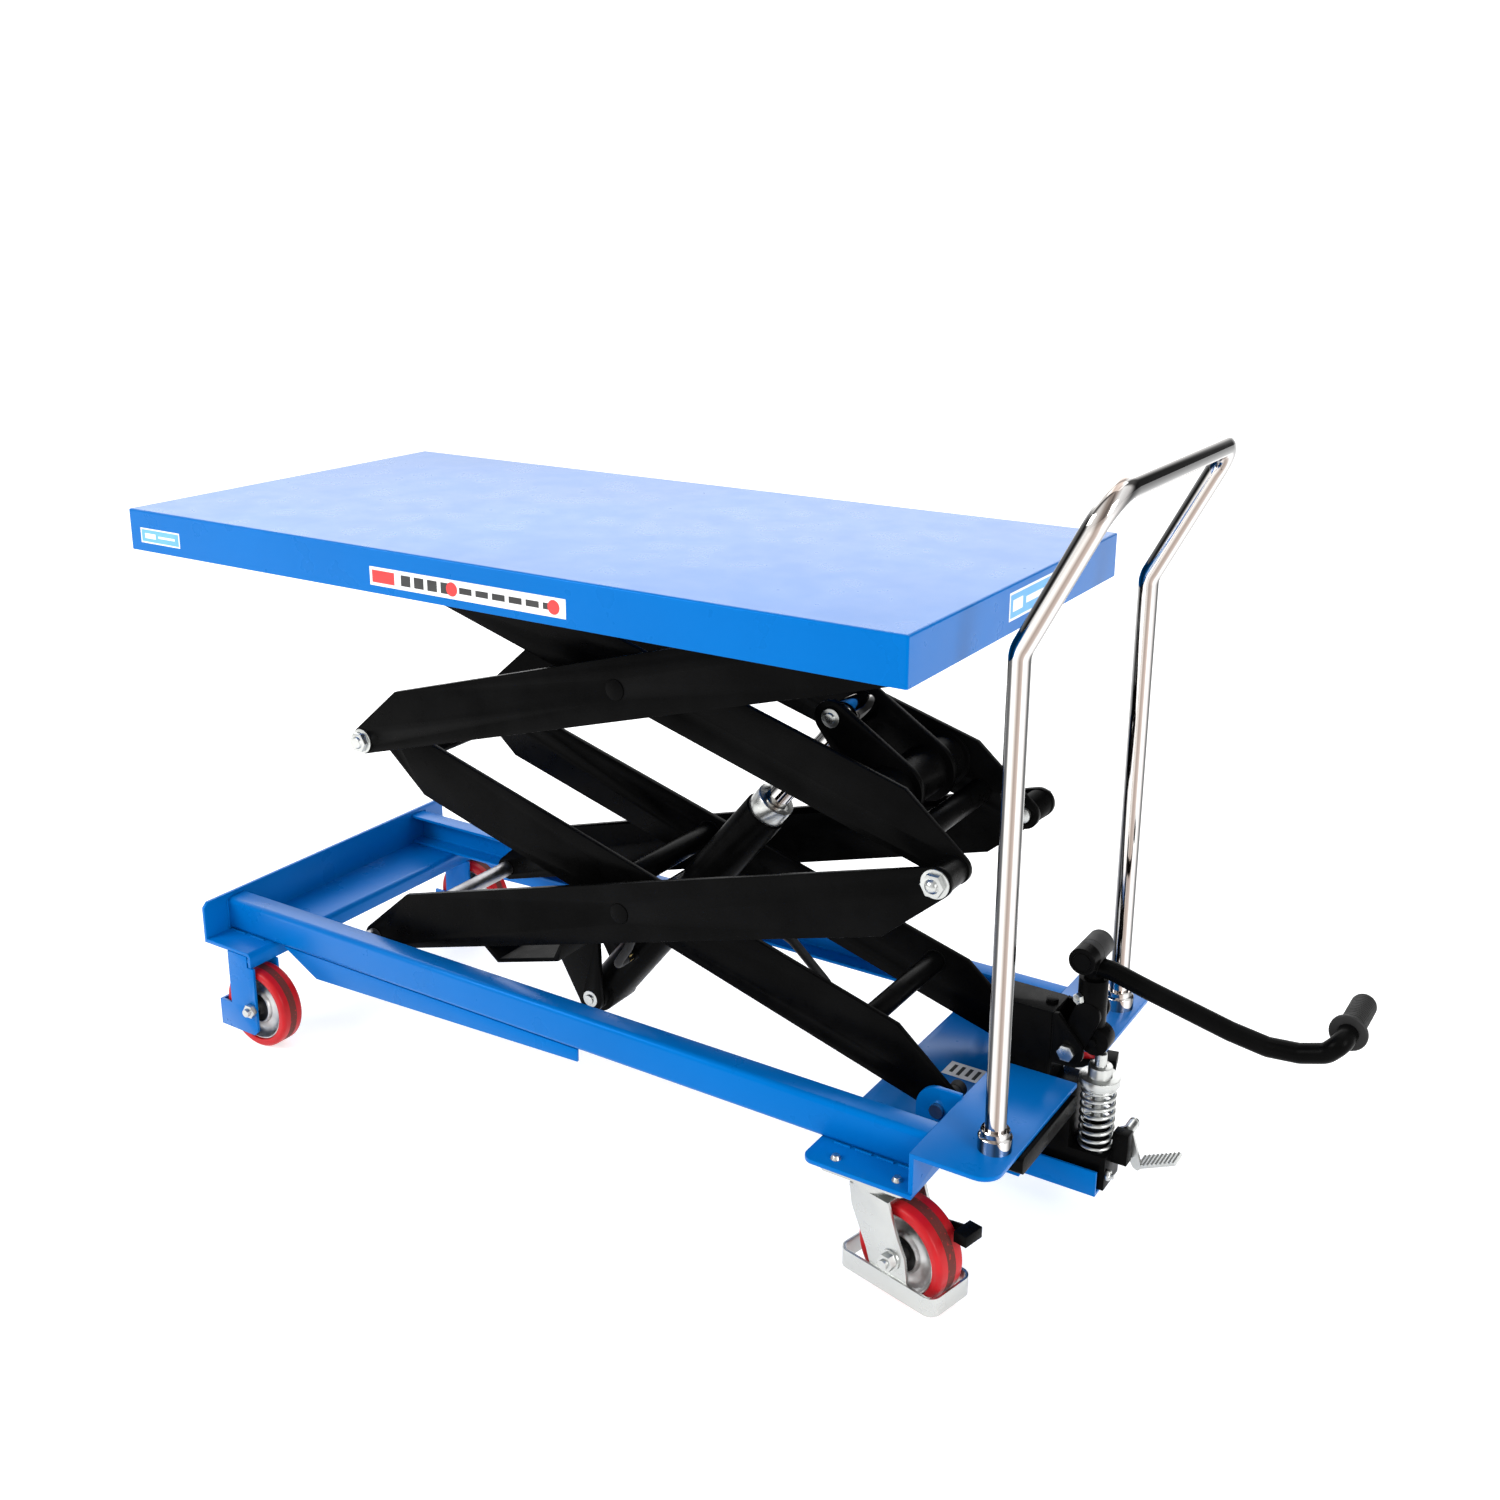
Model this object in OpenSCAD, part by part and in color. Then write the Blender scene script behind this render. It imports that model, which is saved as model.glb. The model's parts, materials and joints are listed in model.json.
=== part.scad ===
/* [Platform] */
// Length of the platform
platform_length = 1220; // [1215:5:1240]
// Width of the platform
platform_width = 600; // [580:5:620]
// Height of the folded skirt
skirt_height = 58; // [50:1:60]
// Thickness of the platform sheet
sheet = 3; // [2:0.5:3]
// Height of the sheet's underside over the upper fixed pivot
deck_over_pivot = 21.1; // [21:0.1:25]

/* [Scissor arms] */
// Distance between the end pivots of each arm
arm_span = 961; // [955:1:965]
// Slope of the arms in the stored pose
rest_angle = 18.76; // [18:0.01:19]
// Depth of each arm plate
arm_depth = 82; // [78:1:84]
// Thickness of each arm plate
arm_thickness = 8; // [6:0.5:8]
// Distance from the pivot line to the middle of the plate
arm_offset = 21.5; // [21:0.5:23]
// Length of the sloped corner of each plate
corner_length = 89; // [70:1:100]
// Inner face of the outer arm plates
outer_arm_y = 147; // [146:0.5:149]
// Inner face of the inner arm plates
inner_arm_y = 98; // [96:0.5:100]
// Diameter of the centre pins
centre_pin_d = 28; // [24:1:30]
// Diameter of the pins between the lower and upper arms
mid_pin_d = 20; // [16:1:22]
// Diameter of the fixed pivot pins
end_pin_d = 18; // [14:1:20]

/* [Chassis] */
// Distance of the fixed pivots from the platform centre
pivot_x = 582; // [580:1:584]
// Height of the lower fixed pivots
pivot_height = 180.5; // [180:0.1:181]
// Outer face of the side rails
rail_y = 218.7; // [217:0.1:220]
// Thickness of the side rails
rail_sheet = 4.7; // [4:0.1:5]
// Thickness of the end plates
plate_sheet = 6; // [5:0.5:6]
// Upper face of the low plates that carry the rails
low_plate_top = 154.7; // [154:0.1:155]
// Upper face of the handle plate and of the rails
high_plate_top = 206; // [206:0.5:207]

/* [Wheels] */
// Diameter of every wheel
wheel_d = 125; // [120:1:125]
// Width of the front wheels
front_wheel_w = 38; // [34:1:38]
// Width of the caster wheels
caster_wheel_w = 45; // [40:1:46]
// Distance from the swivel axis to the caster wheel's axle
caster_trail = 49; // [45:1:50]
// Turn of the casters in the stored pose
caster_yaw = 13; // [0:1:20]

/* [Push handle] */
// Diameter of the handle tube
handle_d = 25; // [22:1:28]
// Distance of each leg from the middle
handle_y = 198.7; // [190:0.1:205]
// Height of the bend in the legs
handle_bend = 794; // [780:1:810]
// Height of the handle's axis at the top
handle_top = 968.9; // [950:0.1:990]

/* [Hydraulics] */
// Outer diameter of the cylinder barrel
barrel_d = 60; // [56:1:60]
// Diameter of the piston rod
rod_d = 32; // [28:1:34]
// Distance between the cylinder's eyes in the stored pose
cylinder_length = 633; // [630:1:636]
// Slope of the cylinder in the stored pose
cylinder_angle = 51.4; // [51:0.1:52.5]
// Outer diameter of the hoses
hose_d = 13; // [10:1:13]

/* [Hidden] */
$fn = 64;

fit = 0.1;            // added to a pin's diameter to get its hole's
gap = 0.3;            // clearance between faces that pass each other
cut = 1;              // how far a cutter runs past a face

// The platform is centred on X = 0 in the dimensions below. This shift centres the whole
// table, with its pump lever.
grip_axis = [1006, 330];
grip_flange_d = 44;
table_shift = (platform_length / 2 - grip_axis[0] - grip_flange_d / 2) / 2;

// Scissor pivots, as [x, z].
arm_rise = arm_span * sin(rest_angle);
arm_run = arm_span * cos(rest_angle);
base_pivot = [pivot_x, pivot_height];
base_roller = base_pivot - [arm_run, 0];
lower_centre = base_pivot + [-arm_run / 2, arm_rise / 2];
left_mid = base_pivot + [-arm_run, arm_rise];
right_mid = base_pivot + [0, arm_rise];
upper_centre = lower_centre + [0, arm_rise];
platform_roller = left_mid + [0, arm_rise];
platform_pivot = right_mid + [0, arm_rise];

// Arm plate outline.
arm_lean = asin(2 * arm_offset / arm_span);
plate_angle = rest_angle - arm_lean;
plate_reach = arm_span / 2 * cos(arm_lean);
arm_end_r = arm_depth / 2 - arm_offset;
centre_boss_d = 40;
mid_boss_d = 36;
boss_start = inner_arm_y + arm_thickness + gap;
outer_arm_face = outer_arm_y + arm_thickness;

// Rollers and their channels.
roller_d = 41;
roller_w = 20;
roller_y = 190;
rail_flange = 33;
stub_end = 211;

// Deck.
deck_underside = platform_pivot[1] + deck_over_pivot;
deck_top = deck_underside + sheet;
deck_corner_r = 4;
platform_rail_start = -500;
platform_rail_end = -60;
platform_lug_y = 159;

// Cylinder, measured along its own axis from the lower eye.
lower_eye = [-8, 124];
upper_eye = [381, 623];
eye_pin_d = 25;
barrel_start = 14;
bore_start = 60;
barrel_end = 426;
gland_end = 452;
barrel_bore_d = 50;
piston_start = 150;
piston_length = 35;
port_x = 105;
port_end = 50;
lever_plate_y = 40;
clevis_plate_y = 42;
torsion_tube_at = [468, 545];
torsion_tube_d = 64;

// Chassis, as distances from the platform centre.
front_plate_x = -581;
front_plate_sheet = 5;
front_flange_end = -481;
lip_bottom = 131;
rear_plate_start = 472;
riser_x = 612;
handle_plate_end = 716;
end_plate_y = 264;
low_plate_bottom = low_plate_top - plate_sheet;
notch = [584, -16, 70];           // x start, y from, y to
handle_x = 688.5;
handle_top_x = 778;
front_axle = [-485, wheel_d / 2];
front_wheel_y = 239;
front_bracket_y = [214, 260];
front_bracket_sheet = 4;
front_axle_d = 12;
swivel = [556, 222];
caster_plate_centre = [550.5, 217];
caster_bolt_spacing = 81;
caster_plate_size = [111, 90];
caster_head_z = 128;
caster_axle_d = 12;
fork_inner = 30;
fork_sheet = 4;
guard_z = [17, 41];
brake_pivot = [62, 92];

// Pump.
pump_y = 27;
pump_half_w = 26;
block_z = [58, 104];
plunger_x = 729;
plunger_d = 15;
lever_pivot = [694, 234];
lever_pivot_d = 14;
release_pivot = [762, 120];
release_d = 14;
spring_d = 45;
spring_wire = 5;
spring_turns = 7;
spring_top = 190;
foot_bar = [708, 362];
foot_roller_d = 34;
foot_roller_y = [-6, 40, 60];       // metal from, rubber from, end

// Routes of the hoses and of the bent tubes, as [x, y, z].
hose_arm_y = -84.5;
hose_base_y = -70.5;
hose_eye_d = 22;
hose_pin_d = 10;
hose_hole_d = 30;
hose_cylinder_route = [
    [59, -51, 206], [59, -74, 206], [82, -76, 240], [108, -76, 300], [127, -80, 335], [127, -64, 335]
];
hose_arm_route = [
    [127, -62, 335], [127, -44, 335], [200, -44, 338], [270, -44, 330], [328, -44, 304],
    [380, -44, 258], [440, hose_arm_y, 228.7], [574.4, hose_arm_y, 183.1]
];
hose_base_route = [
    [582, hose_base_y, 178], [582, hose_base_y, 108], [618, -40, 82], [628, 27, 80], [649, 27, 80]
];
lever_route = [
    [713, 27, 270], [713, 27, 345], [735, 27, 344], [783, 27, 331], [881, 27, 307], [925, 27, 300],
    [961, 27, 303], [990, 27, 312], [1006, 27, 330], [1006, 131, 330]
];

// ---- Helpers ----

module placed() translate([table_shift, 0, 0]) children();

// Moves to a point given as [x, z].
module at(point) translate([point[0], 0, point[1]]) children();

// Repeats at +Y and, mirrored, at -Y.
module both_sides() for (s = [0, 1]) mirror([0, s, 0]) children();

// Builds on the left (-Y) or the right (+Y).
module on_side(right) mirror([0, right ? 0 : 1, 0]) children();

// Extrudes an outline drawn in X and Z from y = start by depth.
module plate_xz(start, depth) {
    translate([0, start + depth, 0]) rotate([90, 0, 0]) linear_extrude(depth) children();
}

// Extrudes an outline drawn in Y and Z from x = start by depth.
module plate_yz(start, depth) {
    translate([start, 0, 0]) rotate([90, 0, 90]) linear_extrude(depth) children();
}

// A bar along Y from one y to another.
module bar_y(d, from, to) translate([0, from, 0]) rotate([-90, 0, 0]) cylinder(d = d, h = to - from);

// A bar along X from one x to another.
module bar_x(d, from, to) translate([from, 0, 0]) rotate([0, 90, 0]) cylinder(d = d, h = to - from);

// A box given by its lowest and highest corners.
module box(low, high) translate(low) cube(high - low);

// A flat link that wraps two circles.
module link(p, r, q, s) {
    heading = atan2(q[1] - p[1], q[0] - p[0]);
    spread = acos((r - s) / norm(q - p));
    translate(p) circle(r = r);
    translate(q) circle(r = s);
    polygon([
        p + r * [cos(heading + spread), sin(heading + spread)],
        p + r * [cos(heading - spread), sin(heading - spread)],
        q + s * [cos(heading - spread), sin(heading - spread)],
        q + s * [cos(heading + spread), sin(heading + spread)]
    ]);
}

// A rectangle with four rounded corners.
module round_rect(low, high, r) {
    translate(low + [r, 0]) square([high[0] - low[0] - 2 * r, high[1] - low[1]]);
    translate(low + [0, r]) square([high[0] - low[0], high[1] - low[1] - 2 * r]);
    for (x = [low[0] + r, high[0] - r], y = [low[1] + r, high[1] - r]) translate([x, y]) circle(r = r);
}

function unit(v) = v / norm(v);

// A polyline's corners rounded to the radii r, with steps pieces on each bend.
function rounded(p, r, steps = 6) = concat([p[0]], [
    for (i = [1 : len(p) - 2])
        let (
            u = unit(p[i] - p[i - 1]),
            v = unit(p[i + 1] - p[i]),
            turn = acos(min(1, u * v)),
            shorter = min(norm(p[i] - p[i - 1]), norm(p[i + 1] - p[i])),
            reach = min(r[i - 1] * tan(turn / 2), shorter * 0.49)
        )
        each turn < 1 ? [p[i]] :
            let (
                bend_r = reach / tan(turn / 2),
                centre = p[i] + unit(v - u) * bend_r / cos(turn / 2),
                a = p[i] - u * reach - centre,
                b = p[i] + v * reach - centre
            )
            [for (k = [0 : steps]) centre + (sin(turn * (1 - k / steps)) * a + sin(turn * k / steps) * b) / sin(turn)]
], [p[len(p) - 1]]);

function tangents(p) = [
    for (i = [0 : len(p) - 1]) unit(p[min(i + 1, len(p) - 1)] - p[max(i - 1, 0)])
];

function normals(t, n, i = 0) = i == len(t) ? [] :
    let (m = unit(n - t[i] * (n * t[i]))) concat([m], normals(t, m, i + 1));

// A round bar swept along a route.
module sweep(p, d, sides, first_normal = [1, 0, 0]) {
    t = tangents(p);
    n = normals(t, first_normal);
    rings = [
        for (i = [0 : len(p) - 1], k = [0 : sides - 1])
            p[i] + d / 2 * (cos(360 * k / sides) * n[i] + sin(360 * k / sides) * cross(t[i], n[i]))
    ];
    last = len(p) - 1;
    walls = [
        for (i = [0 : last - 1], k = [0 : sides - 1])
            let (m = (k + 1) % sides)
            [i * sides + k, (i + 1) * sides + k, (i + 1) * sides + m, i * sides + m]
    ];
    start_cap = [for (k = [0 : sides - 1]) k];
    end_cap = [for (k = [sides - 1 : -1 : 0]) last * sides + k];
    polyhedron(rings, concat(walls, [start_cap, end_cap]));
}

// ---- Scissor arms ----

// Place of an arm's pivot: -1 and 1 are its ends, 0 its middle.
function arm_pivot(i) = i * [plate_reach, arm_offset];

module arm_outline() {
    corner = [corner_length - plate_reach, arm_depth / 2];
    span = corner - arm_pivot(-1);
    heading = atan2(span[1], span[0]) + acos(arm_end_r / norm(span));
    tangent = arm_pivot(-1) + arm_end_r * [cos(heading), sin(heading)];
    foot = [-plate_reach, -arm_depth / 2];
    polygon([foot, -corner, -tangent, -foot, corner, tangent]);
    for (i = [-1, 1]) translate(arm_pivot(i)) circle(r = arm_end_r);
}

// Frame of an arm that rises or falls to the right; the falling one is the rising one's mirror.
module arm_frame(centre, rising) {
    at(centre) mirror([rising ? 0 : 1, 0, 0]) rotate([0, -plate_angle, 0]) children();
}

// A point given as [x, z], in the frame of the rising arm on this centre.
function in_arm_frame(point, centre) =
    let (v = point - centre)
    [v[0] * cos(plate_angle) + v[1] * sin(plate_angle), v[1] * cos(plate_angle) - v[0] * sin(plate_angle)];

// A pair of arm plates with their pivot holes, and bosses where bosses holds a diameter.
module arm_pair(centre, rising, y, pins, bosses) {
    both_sides() arm_frame(centre, rising) difference() {
        union() {
            plate_xz(y, arm_thickness) arm_outline();
            for (i = [-1 : 1]) if (bosses[i + 1] > 0) at(arm_pivot(i)) bar_y(bosses[i + 1], boss_start, y + cut);
        }
        for (i = [-1 : 1]) at(arm_pivot(i)) bar_y(pins[i + 1] + fit, inner_arm_y, outer_arm_face + cut);
    }
}

module upper_outer_arms() {
    color("#1c1c1e") placed() arm_pair(
        upper_centre, true, outer_arm_y,
        [mid_pin_d, centre_pin_d, end_pin_d], [mid_boss_d, centre_boss_d, 0]
    );
}

module lower_outer_arms() {
    color("#1c1c1e") placed() arm_pair(
        lower_centre, true, outer_arm_y,
        [mid_pin_d, centre_pin_d, mid_pin_d], [0, centre_boss_d, mid_boss_d]
    );
}

module upper_inner_arms() {
    color("#232326") placed() arm_pair(
        upper_centre, false, inner_arm_y, [mid_pin_d, centre_pin_d, mid_pin_d], [0, 0, 0]
    );
}

module lower_inner_arms() {
    color("#232326") placed() arm_pair(
        lower_centre, false, inner_arm_y, [end_pin_d, centre_pin_d, mid_pin_d], [0, 0, 0]
    );
}

// Centre pins with a retaining ring inside the inner arms.
module centre_pins(centre) {
    ring_w = 4;
    both_sides() at(centre) {
        bar_y(centre_pin_d, inner_arm_y - ring_w - gap, outer_arm_face + 1);
        bar_y(centre_pin_d + 6, inner_arm_y - ring_w - gap, inner_arm_y - gap);
    }
}

module upper_centre_pins() color("#3a3a3c") placed() centre_pins(upper_centre);

module lower_centre_pins() color("#3a3a3c") placed() centre_pins(lower_centre);

// Bolts with washer, nut and domed end, between a lower and an upper arm.
module mid_bolts(centre, stud_end) {
    washer_end = outer_arm_face + 3;
    nut_end = washer_end + 8;
    both_sides() at(centre) {
        bar_y(mid_pin_d, inner_arm_y - 5, nut_end);
        bar_y(mid_pin_d + 16, outer_arm_face, washer_end);
        translate([0, washer_end, 0]) rotate([-90, 0, 0]) cylinder(d = mid_pin_d + 10, h = nut_end - washer_end, $fn = 6);
        translate([0, nut_end - 4, 0]) intersection() {
            sphere(d = mid_pin_d);
            bar_y(mid_pin_d, 0, stud_end - nut_end + 4);
        }
    }
}

module right_mid_pins() color("#c9ccd0") placed() mid_bolts(right_mid, 172);

module left_mid_pins() color("#c9ccd0") placed() mid_bolts(left_mid, 169);

// Shaft with a roller seat beyond the outer arms, and a collar that spaces the roller.
module roller_shaft(point, arm_y) {
    at(point) {
        bar_y(mid_pin_d, -stub_end, stub_end);
        bar_y(mid_pin_d + 4, -arm_y, arm_y);
        both_sides() bar_y(mid_pin_d + 8, arm_y + arm_thickness, roller_y - gap);
    }
}

module lower_roller_shaft() color("#4a4b4e") placed() roller_shaft(base_roller, outer_arm_y);

module upper_roller_shaft() color("#4a4b4e") placed() roller_shaft(platform_roller, inner_arm_y);

module roller(point, right) {
    color("#8f9296") placed() on_side(right) at(point) difference() {
        bar_y(roller_d, roller_y, roller_y + roller_w);
        bar_y(mid_pin_d + fit, roller_y - cut, roller_y + roller_w + cut);
    }
}

// Folded channel under the lower outer arms, with two ears down to the cylinder's lower pin.
module cross_channel() {
    top = -arm_depth / 2;
    depth = 25;
    wall = 6;
    centre_x = -188;
    ear_w = 8;
    ear_r = 20;
    channel_y = outer_arm_face - 2;
    eye = in_arm_frame(lower_eye, lower_centre);
    outer = [[-75, 0], [-57, -depth], [57, -depth], [75, 0]];
    inner = [[-75 + wall, cut], [-57 + wall, wall - depth], [57 - wall, wall - depth], [75 - wall, cut]];
    color("#1c1c1e") placed() arm_frame(lower_centre, true) {
        translate([centre_x, 0, top]) plate_xz(-channel_y, 2 * channel_y) difference() {
            polygon(outer);
            polygon(inner);
        }
        both_sides() difference() {
            plate_xz(clevis_plate_y, ear_w) {
                translate(eye) circle(r = ear_r);
                polygon([
                    eye + [-ear_r, 0], eye + [ear_r, 0], [centre_x + 46, top - depth + wall / 2],
                    [centre_x - 46, top - depth + wall / 2]
                ]);
            }
            at(eye) bar_y(eye_pin_d + fit, clevis_plate_y - cut, clevis_plate_y + ear_w + cut);
        }
    }
}

module lower_cylinder_pin() {
    end = clevis_plate_y + 8;
    color("#b9bcc0") placed() at(lower_eye) {
        bar_y(eye_pin_d, -end, end);
        bar_y(14, -end - 4, end + 4);
    }
}

// Cross tubes of the lower inner arms: one beside the centre, one by the fixed pivots.
module lower_inner_tubes() {
    color("#232326") placed() {
        at(lower_centre + [-24, 23]) bar_y(32, -inner_arm_y, inner_arm_y);
        at([467, 254]) bar_y(28, -inner_arm_y, inner_arm_y);
        at(left_mid + [60, -18]) bar_y(32, -inner_arm_y, inner_arm_y);
    }
}

// Tube between the upper inner arms, with the two levers that carry the cylinder's upper pins.
module torsion_tube() {
    lever_w = 10;
    color("#232326") placed() {
        at(torsion_tube_at) bar_y(torsion_tube_d, -inner_arm_y, inner_arm_y);
        both_sides() at(torsion_tube_at) bar_y(torsion_tube_d + 12, inner_arm_y - 5, inner_arm_y);
        both_sides() difference() {
            plate_xz(lever_plate_y, lever_w) link(upper_eye, 23, torsion_tube_at, 42);
            at(upper_eye) bar_y(eye_pin_d + fit, lever_plate_y - cut, lever_plate_y + lever_w + cut);
        }
        at(right_mid + [-62, 19]) bar_y(32, -inner_arm_y, inner_arm_y);
    }
}

module upper_cylinder_pins() {
    color("#b9bcc0") placed() both_sides() at(upper_eye) {
        bar_y(eye_pin_d, 31, 50);
        bar_y(14, 50, 54);
    }
}

// ---- Cylinder ----

module cylinder_frame() at(lower_eye) rotate([0, -cylinder_angle, 0]) children();

module cylinder_barrel() {
    eye_half = clevis_plate_y - 2;
    color("#2a2a2c") placed() cylinder_frame() {
        difference() {
            union() {
                bar_x(barrel_d, barrel_start, barrel_end);
                bar_y(barrel_d - 6, -barrel_d / 2 + 1, barrel_d / 2 - 1);
                bar_y(40, -eye_half, eye_half);
            }
            bar_x(barrel_bore_d, bore_start, barrel_end + cut);
            bar_y(eye_pin_d + fit, -eye_half - cut, eye_half + cut);
        }
        translate([port_x, 0, 0]) bar_y(18, -port_end + 12, -barrel_bore_d / 2 - 1);
        translate([port_x, -port_end + 12, 0]) rotate([90, 0, 0]) cylinder(d = 16, h = 12, $fn = 6);
    }
}

module cylinder_gland() {
    color("#c9ccd0") placed() cylinder_frame() difference() {
        union() {
            bar_x(barrel_bore_d - fit, barrel_end - 24, barrel_end);
            bar_x(54, barrel_end, gland_end);
        }
        bar_x(rod_d + fit, barrel_end - 24 - cut, gland_end + cut);
    }
}

module cylinder_rod() {
    eye_half = 27;
    color("#d8dadd") placed() cylinder_frame() {
        bar_x(barrel_bore_d - fit, piston_start, piston_start + piston_length);
        difference() {
            union() {
                bar_x(rod_d, piston_start, cylinder_length);
                translate([cylinder_length, 0, 0]) bar_y(42, -eye_half, eye_half);
            }
            translate([cylinder_length, 0, 0]) bar_y(eye_pin_d + fit, -eye_half - cut, eye_half + cut);
        }
    }
}

// ---- Platform ----

module platform_deck() {
    half_l = platform_length / 2;
    half_w = platform_width / 2;
    color("#0d6fd0") placed() difference() {
        intersection() {
            plate_yz(-half_l, platform_length)
                round_rect([-half_w, deck_top - skirt_height - 9], [half_w, deck_top], deck_corner_r);
            plate_xz(-half_w, platform_width)
                round_rect([-half_l, deck_top - skirt_height - 9], [half_l, deck_top], deck_corner_r);
            translate([0, 0, deck_top - skirt_height]) linear_extrude(skirt_height)
                round_rect([-half_l, -half_w], [half_l, half_w], deck_corner_r);
        }
        box(
            [sheet - half_l, sheet - half_w, deck_top - skirt_height - cut],
            [half_l - sheet, half_w - sheet, deck_underside]
        );
    }
}

// Roller channels under the deck and the lugs of the fixed pivots.
module platform_rails() {
    flange_top = platform_roller[1] - roller_d / 2 - gap;
    flange_bottom = flange_top - rail_sheet;
    lug_r = 21;
    lug_w = 8;
    color("#0b5cae") placed() both_sides() {
        box([platform_rail_start, rail_y - rail_sheet, flange_bottom], [platform_rail_end, rail_y, deck_underside]);
        box([platform_rail_start, rail_y - rail_flange, flange_bottom], [platform_rail_end, rail_y, flange_top]);
        difference() {
            plate_xz(platform_lug_y, lug_w) {
                translate(platform_pivot) circle(r = lug_r);
                translate(platform_pivot - [lug_r, 0]) square([2 * lug_r, deck_over_pivot]);
            }
            at(platform_pivot) bar_y(end_pin_d + fit, platform_lug_y - cut, platform_lug_y + lug_w + cut);
        }
    }
}

module platform_pivot_pins() {
    color("#b9bcc0") placed() both_sides() at(platform_pivot) {
        bar_y(end_pin_d, outer_arm_y - 5, platform_lug_y + 12);
        bar_y(end_pin_d + 8, outer_arm_y - 4, outer_arm_y - gap);
        bar_y(end_pin_d + 8, outer_arm_face + gap, platform_lug_y);
    }
}

// ---- Chassis ----

module side_rails() {
    low = [rail_y - rail_flange, low_plate_top];
    high = [rail_y, high_plate_top];
    bend_r = 8;
    start = front_plate_x + front_plate_sheet;
    fin = [[-460, low_plate_top], [-394, 118.5], [99, 136.5], [99, low_plate_top]];
    color("#0d6fd0") placed() both_sides() plate_xz(212, 4) polygon(fin);
    color("#0d6fd0") placed() both_sides() plate_yz(start, riser_x - start) difference() {
        intersection() {
            round_rect(low - [2 * bend_r, 0], high, bend_r);
            translate(low) square(high - low);
        }
        intersection() {
            round_rect(
                low + [-2 * bend_r, rail_sheet], high - [rail_sheet, rail_sheet], bend_r - rail_sheet
            );
            translate(low - [cut, 0]) square(high - low);
        }
    }
}

module front_cross_plate() {
    top = 213;
    bend_r = 8;
    chamfer = 8;
    half = end_plate_y - 1;
    color("#0d6fd0") placed() {
        plate_yz(front_plate_x, front_plate_sheet) polygon([
            [-half, low_plate_bottom], [half, low_plate_bottom], [half, top - chamfer],
            [half - chamfer, top], [chamfer - half, top], [-half, top - chamfer]
        ]);
        plate_xz(-half, 2 * half) difference() {
            union() {
                translate([front_plate_x, low_plate_bottom])
                    square([front_flange_end - bend_r - front_plate_x, plate_sheet]);
                translate([front_flange_end - bend_r, low_plate_top - bend_r]) circle(r = bend_r);
                translate([front_flange_end - plate_sheet, lip_bottom])
                    square([plate_sheet, low_plate_top - bend_r - lip_bottom]);
            }
            translate([front_flange_end - bend_r, low_plate_top - bend_r]) circle(r = bend_r - plate_sheet);
            translate([front_flange_end - 2 * bend_r, lip_bottom])
                square([bend_r, low_plate_bottom - lip_bottom]);
        }
    }
}

// Pairs of plates that hold the front wheels, with a folded toe on the outer plate.
module front_wheel_brackets() {
    left = -530;
    right = -476;
    toe_x = -556;
    toe_z = [20, 62];
    toe_return = 20;
    lip_face = front_flange_end - plate_sheet - 2;
    outer_y = front_bracket_y[1] + front_bracket_sheet;
    color("#0d6fd0") placed() both_sides() {
        for (y = front_bracket_y) difference() {
            plate_xz(y, front_bracket_sheet) polygon([
                [left, low_plate_bottom], [lip_face, low_plate_bottom], [lip_face, lip_bottom],
                [right, lip_bottom], [right, toe_z[0] + 8], [right - 8, toe_z[0]], [toe_x, toe_z[0]],
                [toe_x, toe_z[1]], [left, toe_z[1]]
            ]);
            at(front_axle) bar_y(front_axle_d + fit, y - cut, y + front_bracket_sheet + cut);
        }
        box([toe_x, outer_y - toe_return, toe_z[0]], [toe_x + front_bracket_sheet, outer_y, toe_z[1]]);
    }
}

// Low plate over the casters, riser and the plate of the push handle, with the pivot lugs.
module rear_plate() {
    half = end_plate_y - 2;
    lug_y = 118;
    lug_w = 8;
    lug_r = 29;
    corner_r = 25;
    color("#0d6fd0") placed() {
        difference() {
            union() {
                translate([0, 0, low_plate_bottom]) linear_extrude(plate_sheet) {
                    round_rect([rear_plate_start, -half - 4], [riser_x, half + 4], 15);
                    translate([riser_x - 60, -half - 4]) square([60 + plate_sheet, 2 * half + 8]);
                }
                box([riser_x, -half, low_plate_bottom], [riser_x + plate_sheet, half, high_plate_top]);
                translate([0, 0, high_plate_top - plate_sheet]) linear_extrude(plate_sheet) {
                    translate([riser_x, -half]) square([40, 2 * half]);
                    round_rect([riser_x + 2, -half], [handle_plate_end, half], corner_r);
                }
            }
            box(
                [notch[0], notch[1], low_plate_bottom - cut],
                [handle_plate_end + cut, notch[2], high_plate_top + cut]
            );
            translate([pivot_x, hose_base_y, low_plate_bottom - cut])
                cylinder(d = hose_hole_d, h = plate_sheet + 2 * cut);
        }
        both_sides() difference() {
            plate_xz(lug_y, lug_w) {
                translate(base_pivot) circle(r = lug_r);
                translate([pivot_x - lug_r, low_plate_top]) square([riser_x - pivot_x + lug_r, pivot_height - low_plate_top]);
                translate([pivot_x, low_plate_top]) square([riser_x - pivot_x, pivot_height + lug_r - low_plate_top]);
            }
            at(base_pivot) bar_y(end_pin_d + fit, lug_y - cut, lug_y + lug_w + cut);
        }
    }
}

module base_pivot_pins() {
    color("#b9bcc0") placed() both_sides() at(base_pivot) {
        bar_y(end_pin_d, inner_arm_y - 5, 131);
        bar_y(end_pin_d + 8, inner_arm_y - 4, inner_arm_y - gap);
        bar_y(end_pin_d + 8, inner_arm_y + arm_thickness + gap, 118);
    }
}

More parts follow.
